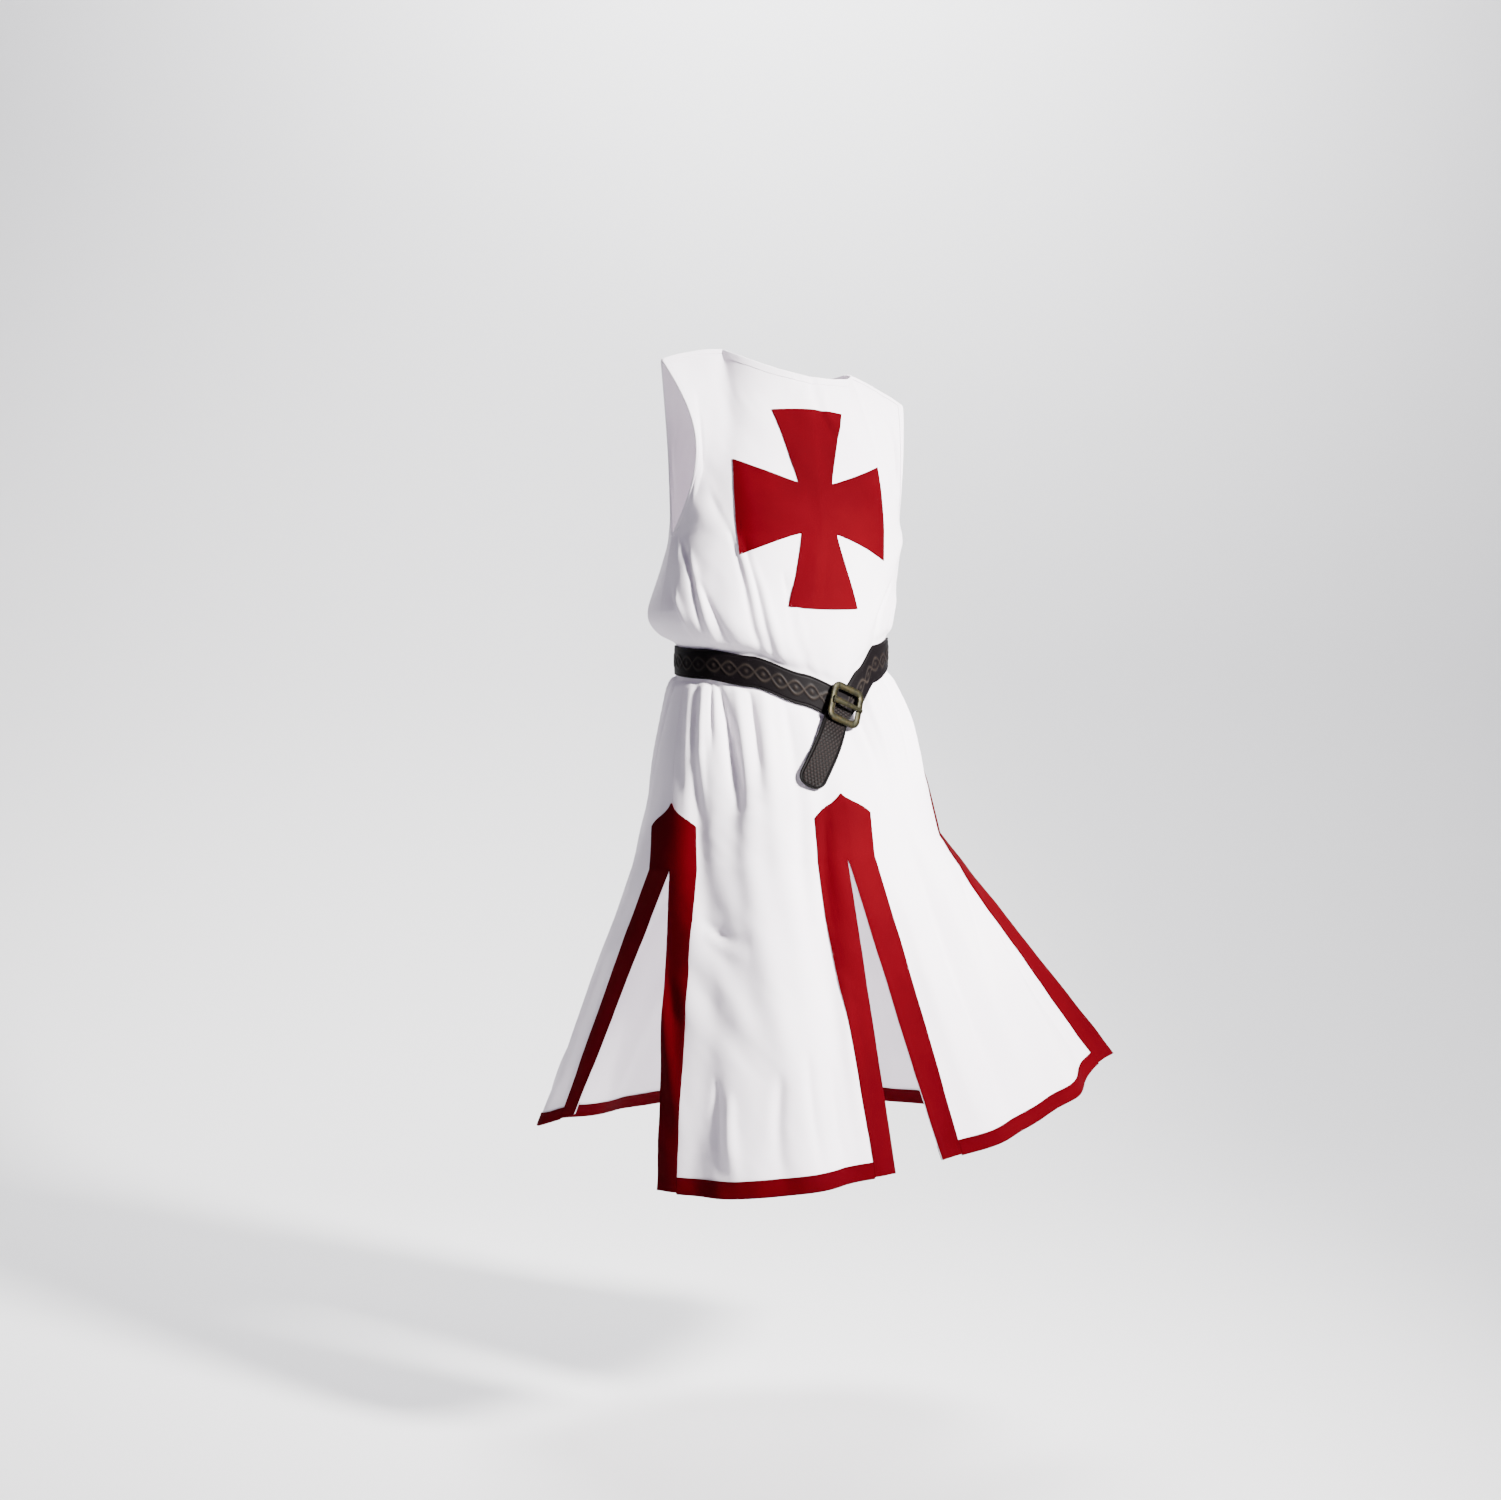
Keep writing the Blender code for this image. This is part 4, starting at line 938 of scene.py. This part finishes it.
def shoulder_seam(name, front_grid, hand):
    """A narrow felled seam laid over the join of front and back."""
    xs = hand * np.linspace(NECK_HALF_WIDTH + 0.002, SHOULDER_TIP_X - 0.001, SEAM_STATIONS)
    sides = []
    for grid in (front_grid, back_grid):
        rows = np.linspace(SEAM_LEAF, 0.12, LEAF_STEPS)
        points, normals = on_grid(grid, rows[None, :], column_at(grid[0], xs)[:, None])
        sides.append((points, normals))
    points = np.concatenate([sides[0][0], sides[1][0][:, ::-1]], 1)
    normals = np.concatenate([sides[0][1], sides[1][1][:, ::-1]], 1)
    outer = points + normals * (CLOTH + TURNED_LIFT + TURNED)
    inner = points + normals * (CLOTH + TURNED_LIFT)
    rings = np.concatenate([outer, inner[:, ::-1]], 1)
    along = np.broadcast_to(np.abs(xs)[:, None], rings.shape[:2])
    across = np.broadcast_to(np.linspace(0, 0.04, rings.shape[1])[None, :], rings.shape[:2])
    return lofted(name, rings, False, np.stack([along, across], -1))


neck_reach = NECK_HALF_WIDTH - 0.001
NECK_RUNS = (
    ("right", right_half, np.linspace(-neck_reach, 0, 60)),
    ("left", left_half, np.linspace(0, neck_reach, 60)),
    ("back", back_grid, np.linspace(-neck_reach, neck_reach, 120)),
)
ARMHOLES = (("right_front", right_half, True), ("left_front", left_half, True),
            ("right_back", back_grid, False), ("left_back", back_grid, True))
turned_hems = [neck_hem(f"hem_neck_{place}", grid, xs) for place, grid, xs in NECK_RUNS]
turned_hems += [armhole_hem(f"hem_arm_{place}", grid, last_column) for place, grid, last_column in ARMHOLES]
turned_hems += [shoulder_seam("seam_right", right_half, -1), shoulder_seam("seam_left", left_half, 1)]
for hem in turned_hems:
    dress(hem, white_cotton, "white_cloth")

# ----------------------------------------------------------------------------
# Stitching. Plain running stitches in thread of the cloth's own colour, 3 mm inside the edges of the bands,
# the cross, the bindings and the turned hems.
# ----------------------------------------------------------------------------
STITCH_PITCH, STITCH_LENGTH = 0.0042, 0.0027
STITCH_HALF_WIDTH, STITCH_RISE = 0.00030, 0.00035
LEAF_SEWN = 0.8  # share of a turned leaf's width at which it is sewn
BINDING_SEWN = 0.85
BAND_SEWN = 0.075  # share of a slit band's width from each of its edges
CROSS_SEWN = 0.003


def stitches(name, paths, material, slot):
    """Small raised stitches along paths of points and normals, as one piece."""
    points, faces = [], []
    for path, normals in paths:
        steps = np.linalg.norm(np.diff(path, axis=0), axis=1)
        along = np.concatenate([[0], np.cumsum(steps)])
        for start in np.arange(STITCH_PITCH / 2, along[-1] - STITCH_LENGTH, STITCH_PITCH):
            reach = start + STITCH_LENGTH * np.array([0, 0.5, 1])
            tail, middle, head = np.stack([np.interp(reach, along, path[:, axis]) for axis in range(3)], 1)
            up = unit(np.array([np.interp(reach[1], along, normals[:, axis]) for axis in range(3)]))
            side = np.cross(up, unit(head - tail)) * STITCH_HALF_WIDTH
            first = len(points)
            points += [tail, head, middle + side, middle - side, middle + up * STITCH_RISE,
                       middle - up * STITCH_RISE]
            for a, b in ((2, 4), (4, 3), (3, 5), (5, 2)):
                faces += [(first, first + a, first + b), (first + 1, first + b, first + a)]
    dress(make_mesh(name, np.array(points), faces, np.array(points)[:, :2]), material, slot)


def grid_path(grid, rows, columns, out):
    points, normals = on_grid(grid, rows, columns)
    return points + normals * out, normals


RED_FACE = CLOTH + RED_LIFT + RED
red_paths = []
for band, first_grid, second_grid in bands.values():
    for grid in (first_grid, second_grid):
        rows = np.arange(grid[0].shape[0] - 1)
        steps = grid[0].shape[1] - 1
        from_row = SLIT_ROW - POINT_ROW
        red_paths.append(grid_path(grid, rows[2:], steps * (1 - BAND_SEWN), RED_FACE))
        red_paths.append(grid_path(grid, rows[from_row:], steps * BAND_SEWN, RED_FACE))
for place, grid, columns in BINDINGS:
    row = grid[0].shape[0] - 1 - HEM_ROWS * BINDING_SEWN
    across = np.arange(BAND_CELLS + 0.2, columns - BAND_CELLS - 0.2, 0.5)
    red_paths.append(grid_path(grid, row, across, CLOTH + BINDING_LIFT + RED))
for out, side, arm in (((0, 1), (-1, 0), UPRIGHT), ((0, -1), (1, 0), UPRIGHT),
                       ((1, 0), (0, 1), CROSSBAR), ((-1, 0), (0, -1), CROSSBAR)):
    runs = np.linspace(0, 1, 40)
    outline = []
    for hand, order in ((-1, runs), (1, runs[::-1])):
        for s in order:
            half = arm.inner_half + (arm.outer_half - arm.inner_half) * s ** ARM_POWER - CROSS_SEWN
            reach = arm.inner_reach + (arm.outer_reach - CROSS_SEWN - arm.inner_reach) * s
            outline.append((side[0] * half * hand + out[0] * reach, side[1] * half * hand + out[1] * reach))
    path, normals = (np.array(part) for part in
                     zip(*(on_chest(CROSS_X + x, CROSS_Z + z, lookup) for x, z in outline)))
    red_paths.append((path + normals * RED_FACE, normals))
red_thread = woven("red_thread", (0.050, 0.0002, 0.002), (0.040, 0.0002, 0.0015), 0.0, 0.02, 0.0004, 0.7)
stitches("stitches_red", red_paths, red_thread, "red_cloth")

white_face = CLOTH + TURNED_LIFT + TURNED
white_paths = []
for _, grid, xs in NECK_RUNS:
    white_paths.append(grid_path(grid, NECK_LEAF * LEAF_SEWN, column_at(grid[0], xs), white_face))
arm_rows = np.arange(0.5, place_row("armhole"), 0.5)
for _, grid, last_column in ARMHOLES:
    column = ARM_LEAF * LEAF_SEWN
    if last_column:
        column = grid[0].shape[1] - 1 - column
    white_paths.append(grid_path(grid, arm_rows, column, white_face))
white_thread = woven("white_thread", (0.88, 0.84, 0.88), (0.82, 0.78, 0.82), 0.05, 0.2, 0.0004, 0.75)
stitches("stitches_white", white_paths, white_thread, "white_cloth")

# ----------------------------------------------------------------------------
# The belt strap. One length of near-black leather, 40 mm wide and 3.5 mm thick, its edges rounded. Its face
# is tooled between two border lines with a plain interlace and small bosses.
# ----------------------------------------------------------------------------
LEATHER = 0.0035
BELT_CLEAR = 0.0010
BELT_STATIONS = 760
FACE_STEPS = 40
EDGE_ROUND = 0.0016
BORDER_IN, BORDER_WIDE, BORDER_DEEP = 0.0034, 0.0006, 0.0006
BOSS_WIDE = 0.0026
TOOLED_IN = 0.0006  # how far the tooled face lies under the leather's full thickness
KNOT_PITCH, KNOT_SWING, KNOT_WIDE, KNOT_RISE = 0.046, 0.0085, 0.0017, 0.0009


def tooled_leather(name, dark, worn_and_highlit):
    """Near-black leather, paler on its raised tooling where it is rubbed and where a highlight is painted,
    with a fine grain.
    """
    material, tree, shader, place = new_material(name, {
        "Specular IOR Level": 0.06, "Coat Weight": 0.01, "Coat Roughness": 0.35})
    raised = node(tree, "ShaderNodeAttribute", {}, attribute_name="raised")
    patches = node(tree, "ShaderNodeTexNoise", {"Scale": 45, "Detail": 5, "Vector": place})
    # Paler colour mixed in on the raised tooling in noisy patches: partly rubbed leather, partly a painted
    # highlight.
    wear_and_highlight = node(tree, "ShaderNodeMath", {0: raised.outputs["Fac"], 1: patches.outputs["Fac"]},
                operation="MULTIPLY")
    tone = node(tree, "ShaderNodeMix", {"A": (*dark, 1), "B": (*worn_and_highlit, 1), "Factor": wear_and_highlight.outputs[0]},
                data_type="RGBA")
    grain = node(tree, "ShaderNodeTexVoronoi", {"Scale": 900, "Vector": place})
    relief = node(tree, "ShaderNodeBump", {
        "Strength": 0.25, "Distance": 0.0003, "Height": grain.outputs["Distance"]})
    dull = node(tree, "ShaderNodeMapRange", {"To Min": 0.45, "To Max": 0.75, "Value": patches.outputs["Fac"]})
    wire(tree, shader, {"Base Color": tone.outputs["Result"], "Normal": relief.outputs["Normal"],
                        "Roughness": dull.outputs["Result"]})
    return material


def mark_raised(piece, amounts):
    """Stores how much each point is raised tooling, for the leather's paler rubbing and painted highlight."""
    layer = piece.data.attributes.new("raised", "FLOAT", "POINT")
    layer.data.foreach_set("value", np.asarray(amounts, dtype=np.float32).ravel())


def rounded_face(offset, half):
    """How far the leather's face lies under its full thickness at a distance from its middle."""
    past = np.clip((np.abs(offset) - (half - EDGE_ROUND)) / EDGE_ROUND, 0, 1)
    return EDGE_ROUND * (1 - np.sqrt(1 - past ** 2 * 0.96))


angles = np.linspace(0, 360, BELT_STATIONS, endpoint=False)
top_edge = ring_row(NAMES.index("belt top"), angles)
low_edge = ring_row(NAMES.index("belt bottom"), angles)
forward = np.roll(top_edge, -1, axis=0) - np.roll(top_edge, 1, axis=0)
belt_out = unit(np.stack([forward[:, 1], -forward[:, 0], 0 * forward[:, 0]], 1))
belt_run = np.cumsum(np.linalg.norm(top_edge - np.roll(top_edge, 1, axis=0), axis=1))
width = np.linalg.norm(top_edge - low_edge, axis=1)[:, None]
share = (1 - np.cos(np.linspace(0, math.pi, FACE_STEPS))) / 2 * 0.35 + np.linspace(0, 1, FACE_STEPS) * 0.65
offset = (share[None, :] - 0.5) * width
wave = KNOT_SWING * np.sin(2 * math.pi * belt_run / KNOT_PITCH)[:, None]
ropes = np.maximum(np.exp(-((offset - wave) / KNOT_WIDE) ** 2), np.exp(-((offset + wave) / KNOT_WIDE) ** 2))
eye = (belt_run / (KNOT_PITCH / 2) - 0.5) % 1
eye = np.minimum(eye, 1 - eye)[:, None] * KNOT_PITCH / 2
bosses = np.exp(-((eye ** 2 + offset ** 2) / BOSS_WIDE ** 2))
tooling = np.maximum(ropes, bosses)
border = np.exp(-((np.abs(offset) - (width / 2 - BORDER_IN)) / BORDER_WIDE) ** 2)
face = LEATHER - TOOLED_IN + KNOT_RISE * tooling - BORDER_DEEP * border - rounded_face(offset, width / 2)
outer_face = (top_edge[:, None] + (low_edge - top_edge)[:, None] * share[None, :, None]
              + belt_out[:, None] * (CLOTH + BELT_CLEAR + face)[..., None])
inner_low = low_edge + belt_out * (CLOTH + BELT_CLEAR)
inner_top = top_edge + belt_out * (CLOTH + BELT_CLEAR)
rings = np.concatenate([outer_face, inner_low[:, None], inner_top[:, None]], 1)
strap = lofted("belt_leather", rings, True, lay_out(belt_run, np.linspace(0, 0.085, FACE_STEPS + 2)))
mark_raised(strap, np.concatenate([tooling, np.zeros((BELT_STATIONS, 2))], 1))
# The second colour is the raised tooling's paler tone, partly rubbed leather and partly a painted highlight.
strap_leather = tooled_leather("strap_leather", (0.0020, 0.0012, 0.0016), (0.026, 0.020, 0.016))
dress(strap, strap_leather, "belt_leather", "belt_strap")

# ----------------------------------------------------------------------------
# The belt's hanging end. The strap's free end comes through the buckle and turns down over the skirt. Its
# face is closely tooled with small round bosses inside a border line, and its tip is rounded.
# ----------------------------------------------------------------------------
TAIL_HALF_WIDTH, TAIL_LENGTH, TAIL_LEAN = 0.019, 0.134, math.radians(33)
TAIL_CLEAR, TAIL_SETTLES = 0.0065, 0.035
BUCKLE_ANGLE = 12
TAIL_ROWS, TAIL_COLUMNS = 170, 56
PEBBLE_PITCH, PEBBLE_WIDE, PEBBLE_RISE = 0.0050, 0.0014, 0.0011
PEBBLE_ROW = PEBBLE_PITCH * 0.87  # every other row is shifted by half the pitch
TIP_RUN, TIP_STEPS = 0.004, 16  # the last of the tip is cut into finer rows
PLAIN_STEP = 0.01


def on_plain_front(x, z):
    """The point of the smooth front at a width and a height, and its outward direction."""
    across = x / SECTIONS[0].half_width
    for _ in range(10):
        panel = "front_left" if across > 0 else "front_right"
        spot = np.array([abs(across)])
        low, high = 3.0, float(SLIT_PLACE)
        for _ in range(16):
            place = (low + high) / 2
            if plain_row(panel, spot, place)[0, 2] > z:
                low = place
            else:
                high = place
        across += (x - plain_row(panel, spot, place)[0, 0]) / SECTIONS[0].half_width / 2
    beside = plain_row(panel, np.abs(across) + np.array([PLAIN_STEP, -PLAIN_STEP]), place)
    above, below = (plain_row(panel, spot, place + step)[0] for step in (-PLAIN_STEP, PLAIN_STEP))
    normal = unit(np.cross(beside[0] - beside[1], below - above))
    return plain_row(panel, spot, place)[0], normal if normal[1] < 0 else -normal


turn = math.radians(BUCKLE_ANGLE)
at_belt = SECTIONS[NAMES.index("belt top")]
buckle_out = unit(np.array([math.sin(turn) / at_belt.half_width, -math.cos(turn) / at_belt.front, 0]))
edges = [ring_row(NAMES.index(name), np.array([float(BUCKLE_ANGLE)]))[0]
         for name in ("belt top", "belt bottom")]
buckle_centre = (edges[0] + edges[1]) / 2 + buckle_out * (CLOTH + BELT_CLEAR + LEATHER)
up = np.array([0.0, 0.0, 1.0])
buckle_side = unit(np.cross(up, buckle_out))
heading = -buckle_side * math.sin(TAIL_LEAN) - up * math.cos(TAIL_LEAN)
broad = buckle_side * math.cos(TAIL_LEAN) - up * math.sin(TAIL_LEAN)
tail_stops = np.linspace(0, TAIL_LENGTH, 26)
bases, facings = [], []
for run in tail_stops:
    on_strap = buckle_centre + heading * run
    cloth, normal = on_plain_front(on_strap[0], on_strap[2])
    settled = min(1.0, run / TAIL_SETTLES)
    facing = unit(buckle_out * (1 - settled) + normal * settled)
    base = cloth + facing * TAIL_CLEAR
    if (base - on_strap) @ buckle_out < SEAM:
        base = on_strap + buckle_out * SEAM
    bases.append(base)
    facings.append(facing)
smooth_window = np.array([1, 2, 3, 2, 1]) / 9


def smoothed(rows):
    padded = np.concatenate([rows[:1], rows[:1], rows, rows[-1:], rows[-1:]])
    return np.stack([np.convolve(padded[:, axis], smooth_window, "valid") for axis in range(3)], 1)


bases, facings = smoothed(np.array(bases)), unit(smoothed(np.array(facings)))
runs = np.concatenate([np.linspace(0, TAIL_LENGTH - TIP_RUN, TAIL_ROWS - TIP_STEPS),
                       TAIL_LENGTH - TIP_RUN * (1 - np.linspace(0, 1, TIP_STEPS + 1)[1:]) ** 1.6 - 0.00002])
left = TAIL_LENGTH - runs
rounded = np.sqrt(np.maximum(TAIL_HALF_WIDTH ** 2 - (TAIL_HALF_WIDTH - left) ** 2, 1e-8))
half = np.where(left < TAIL_HALF_WIDTH, rounded, TAIL_HALF_WIDTH)
base = np.stack([np.interp(runs, tail_stops, bases[:, axis]) for axis in range(3)], 1)
facing = unit(np.stack([np.interp(runs, tail_stops, facings[:, axis]) for axis in range(3)], 1))
edge = unit(broad - facing * (facing @ broad)[:, None])
offset = np.linspace(-1, 1, TAIL_COLUMNS)[None, :] * half[:, None]
nearest_edge = np.minimum(half[:, None] - np.abs(offset),
                          np.where(left < TAIL_HALF_WIDTH * 1.2, left, 1.0)[:, None])
row_number = np.floor(runs / PEBBLE_ROW + 0.5)
shift = np.where(row_number % 2 == 0, 0.0, PEBBLE_PITCH / 2)
dy = runs - row_number * PEBBLE_ROW
dx = (offset + shift[:, None] + PEBBLE_PITCH / 2) % PEBBLE_PITCH - PEBBLE_PITCH / 2
pebbles = np.exp(-((dx ** 2 + dy[:, None] ** 2) / PEBBLE_WIDE ** 2)) * (nearest_edge > BORDER_IN + 0.0012)
border = np.exp(-((nearest_edge - BORDER_IN) / BORDER_WIDE) ** 2)
past = np.clip((EDGE_ROUND - nearest_edge) / EDGE_ROUND, 0, 1)
height = LEATHER - TOOLED_IN + PEBBLE_RISE * pebbles - BORDER_DEEP * border
height -= EDGE_ROUND * (1 - np.sqrt(1 - past ** 2 * 0.96))
outer_face = base[:, None] + edge[:, None] * offset[..., None] + facing[:, None] * height[..., None]
sides = [(base + edge * (hand * half)[:, None])[:, None] for hand in (1, -1)]
rings = np.concatenate([outer_face, *sides], 1)
tail = lofted("belt_end", rings, False, lay_out(runs, np.linspace(0, 0.08, TAIL_COLUMNS + 2)))
mark_raised(tail, np.concatenate([pebbles, np.zeros((len(runs), 2))], 1))
# The second colour is the raised pebbles' paler tone, partly rubbed leather and partly a painted highlight.
tail_leather = tooled_leather("tail_leather", (0.0012, 0.0008, 0.0009), (0.026, 0.018, 0.017))
dress(tail, tail_leather, "belt_leather", "belt_tail")

# ----------------------------------------------------------------------------
# The buckle. A cast frame of old bronze with rounded corners, mottled green and brown, and a tapered tongue
# that lies across it. The tail passes behind it.
# ----------------------------------------------------------------------------
BUCKLE_HALF_WIDTH, BUCKLE_HALF_HEIGHT, BUCKLE_CORNER = 0.0235, 0.0238, 0.009
BUCKLE_BAR, BUCKLE_CLEAR = 0.0038, 0.0020
BUCKLE_LEAN, BUCKLE_PITCH = math.radians(-20), math.radians(9)
BAR_WIDE, BAR_DEEP = 0.0050, 0.0021
BAR_SIDES = 20
CORNER_STEPS, OUTLINE_STEP = 10, 0.0012
HAMMERED = 0.00030
TONGUE_STATIONS, TONGUE_SIDES = 24, 12
TONGUE_HEEL, TONGUE_LENGTH, TONGUE_CROWN = -0.0250, 0.0512, 0.0006


def turned(first, second, angle):
    """Two square directions, turned in their plane from the first towards the second."""
    return (first * math.cos(angle) + second * math.sin(angle),
            second * math.cos(angle) - first * math.sin(angle))


def frame_outline():
    """Points round the frame, evenly filled along its straight sides."""
    outline = []
    for quadrant, (sx, sy) in enumerate(((1, 1), (-1, 1), (-1, -1), (1, -1))):
        for step in range(CORNER_STEPS + 1):
            turn = math.pi / 2 * (quadrant + step / CORNER_STEPS)
            outline.append((sx * (BUCKLE_HALF_WIDTH - BUCKLE_CORNER) + BUCKLE_CORNER * math.cos(turn),
                            sy * (BUCKLE_HALF_HEIGHT - BUCKLE_CORNER) + BUCKLE_CORNER * math.sin(turn)))
    filled = []
    for a, b in zip(outline, outline[1:] + outline[:1]):
        count = max(1, int(math.hypot(b[0] - a[0], b[1] - a[1]) / OUTLINE_STEP))
        filled += [[a[axis] + (b[axis] - a[axis]) * i / count for axis in (0, 1)] for i in range(count)]
    return np.array(filled)


across, tall = turned(buckle_side, up, BUCKLE_LEAN)
tall, facing = turned(tall, buckle_out, -BUCKLE_PITCH)
centre = buckle_centre + facing * (LEATHER + BUCKLE_BAR / 2 + BUCKLE_CLEAR)
outline = frame_outline()
tangent = unit(np.roll(outline, -1, axis=0) - np.roll(outline, 1, axis=0))
sideways = np.stack([tangent[:, 1], -tangent[:, 0]], 1)
rings = []
for corner in range(BAR_SIDES):
    turn = 2 * math.pi * (corner + 0.5) / BAR_SIDES
    wide, deep = BAR_WIDE * math.cos(turn), BAR_DEEP * math.sin(turn)
    spot = outline + sideways * (wide - 0.0008)
    bumps = np.sin(spot[:, 0] * 1900 + corner) * np.sin(spot[:, 1] * 1700 - corner * 2) * HAMMERED
    rings.append(centre + across * spot[:, :1] + tall * spot[:, 1:] + facing * (deep + bumps)[:, None])
rings = np.array(rings).transpose(1, 0, 2)
cut = lay_out(np.linspace(0, 0.16, len(outline)), np.linspace(0, 0.02, BAR_SIDES))
buckle = lofted("buckle_cast", rings, True, cut)

tongue_rings = []
for share in np.linspace(0, 1, TONGUE_STATIONS):
    reach = TONGUE_HEEL + TONGUE_LENGTH * share
    half_width, thick = 0.0048 - 0.0020 * share, 0.0031 - 0.0012 * share
    arch = TONGUE_CROWN * math.sin(math.pi * share)
    ring = []
    for corner in range(TONGUE_SIDES):
        turn = 2 * math.pi * (corner + 0.5) / TONGUE_SIDES
        ring.append(centre + across * reach + tall * half_width * math.cos(turn)
                    + facing * (BAR_DEEP + 0.0004 + arch + thick / 2 * (1 + math.sin(turn))))
    tongue_rings.append(ring)
cut = lay_out(np.linspace(0, 0.042, TONGUE_STATIONS), np.linspace(0, 0.018, TONGUE_SIDES))
tongue = lofted("buckle_tongue", np.array(tongue_rings), False, cut)

bronze, tree, shader, place = new_material("old_bronze", {"Metallic": 0.60, "Specular IOR Level": 0.20})
mottle = node(tree, "ShaderNodeTexNoise", {"Scale": 190, "Detail": 5, "Roughness": 0.65, "Vector": place})
ramp = node(tree, "ShaderNodeValToRGB", {"Fac": mottle.outputs["Fac"]})
ramp.color_ramp.elements[0].position = 0.36
ramp.color_ramp.elements[0].color = (0.006, 0.004, 0.002, 1)
ramp.color_ramp.elements[1].position = 0.66
ramp.color_ramp.elements[1].color = (0.030, 0.020, 0.007, 1)
middle = ramp.color_ramp.elements.new(0.50)
middle.color = (0.012, 0.012, 0.0045, 1)
dull = node(tree, "ShaderNodeMapRange", {"To Min": 0.62, "To Max": 0.32, "Value": mottle.outputs["Fac"]})
pits = node(tree, "ShaderNodeBump", {"Strength": 0.5, "Distance": 0.0004, "Height": mottle.outputs["Fac"]})
wire(tree, shader, {"Base Color": ramp.outputs["Color"], "Roughness": dull.outputs["Result"],
                    "Normal": pits.outputs["Normal"]})
dress(buckle, bronze, "buckle_bronze", "buckle_frame")
dress(tongue, bronze, "buckle_bronze", "buckle_prong")

# ----------------------------------------------------------------------------
# Camera, floor and light. A camera at chest-to-knee height, turned to the wearer's right of the front; a pale
# sweep of floor and wall; a soft light in front and to the right, a weak one opposite, and one on the wall.
# ----------------------------------------------------------------------------
VIEW_TURN = math.radians(-24)
camera = bpy.data.objects.new("camera", bpy.data.cameras.new("camera"))
camera.data.sensor_width = 36
camera.data.lens = 51.4
camera.location = (-1.264, -2.721, -0.546)
camera.rotation_euler = (math.pi / 2, 0, VIEW_TURN)
bpy.context.scene.collection.objects.link(camera)
bpy.context.scene.camera = camera

FLOOR_Z = -1.52
SWEEP_RADIUS = 1.2
SWEEP_BACK = 3.0


def backdrop():
    profile = [(-6.0, FLOOR_Z), (SWEEP_BACK - SWEEP_RADIUS, FLOOR_Z)]
    for step in range(1, 17):
        turn = math.pi / 2 * step / 16
        profile.append((SWEEP_BACK - SWEEP_RADIUS + SWEEP_RADIUS * math.sin(turn),
                        FLOOR_Z + SWEEP_RADIUS * (1 - math.cos(turn))))
    profile.append((SWEEP_BACK, 4.0))
    forward = (-math.sin(VIEW_TURN), math.cos(VIEW_TURN))
    right = (math.cos(VIEW_TURN), math.sin(VIEW_TURN))
    points, faces = [], []
    for reach, z in profile:
        for side in (-6.0, 6.0):
            points.append((forward[0] * reach + right[0] * side, forward[1] * reach + right[1] * side, z))
    for i in range(len(profile) - 1):
        faces.append((2 * i, 2 * i + 1, 2 * i + 3, 2 * i + 2))
    return make_mesh("studio_sweep", np.array(points), faces)


sweep = backdrop()
paper = bpy.data.materials.new("pale_paper")
paper.use_nodes = True
paper.node_tree.nodes["Principled BSDF"].inputs["Base Color"].default_value = (0.86, 0.86, 0.87, 1)
paper.node_tree.nodes["Principled BSDF"].inputs["Roughness"].default_value = 0.9
sweep.data.materials.append(paper)

LIGHTS = (
    ("key", (1.28, -3.02, 0.9), (0.05, 0.0, -0.6), 0.5, 88, 55, (1.0, 0.98, 0.955)),
    ("fill", (-2.9, -1.6, 0.3), (0.05, 0.0, -0.6), 2.0, 6, 180, (0.80, 0.78, 1.0)),
    ("wall", (0.5, 1.0, 2.7), (1.5, 2.9, -0.9), 1.8, 330, 180, (1.0, 1.0, 1.0)),
)
for name, position, target, size, power, spread, colour in LIGHTS:
    light = bpy.data.lights.new(name, "AREA")
    light.shape = "DISK"
    light.size = size
    light.energy = power
    light.spread = math.radians(spread)
    light.color = colour
    lamp = bpy.data.objects.new(name, light)
    lamp.location = position
    aim = np.array(target) - np.array(position)
    yaw = math.atan2(-aim[0], aim[1])
    pitch = math.atan2(math.hypot(aim[0], aim[1]), -aim[2])
    lamp.rotation_euler = (pitch, 0, yaw)
    bpy.context.scene.collection.objects.link(lamp)
world = bpy.data.worlds.new("studio")
world.use_nodes = True
world.node_tree.nodes["Background"].inputs["Color"].default_value = (0.80, 0.74, 1.0, 1)
world.node_tree.nodes["Background"].inputs["Strength"].default_value = 0.165
bpy.context.scene.world = world

# ----------------------------------------------------------------------------
# The flat cuts, as the cloth pieces were before they were hung.
# ----------------------------------------------------------------------------
front_finish = [piece for piece in turned_hems if "back" not in piece.name]
front_finish += [piece for piece in corner_facings if "back" not in piece.name]
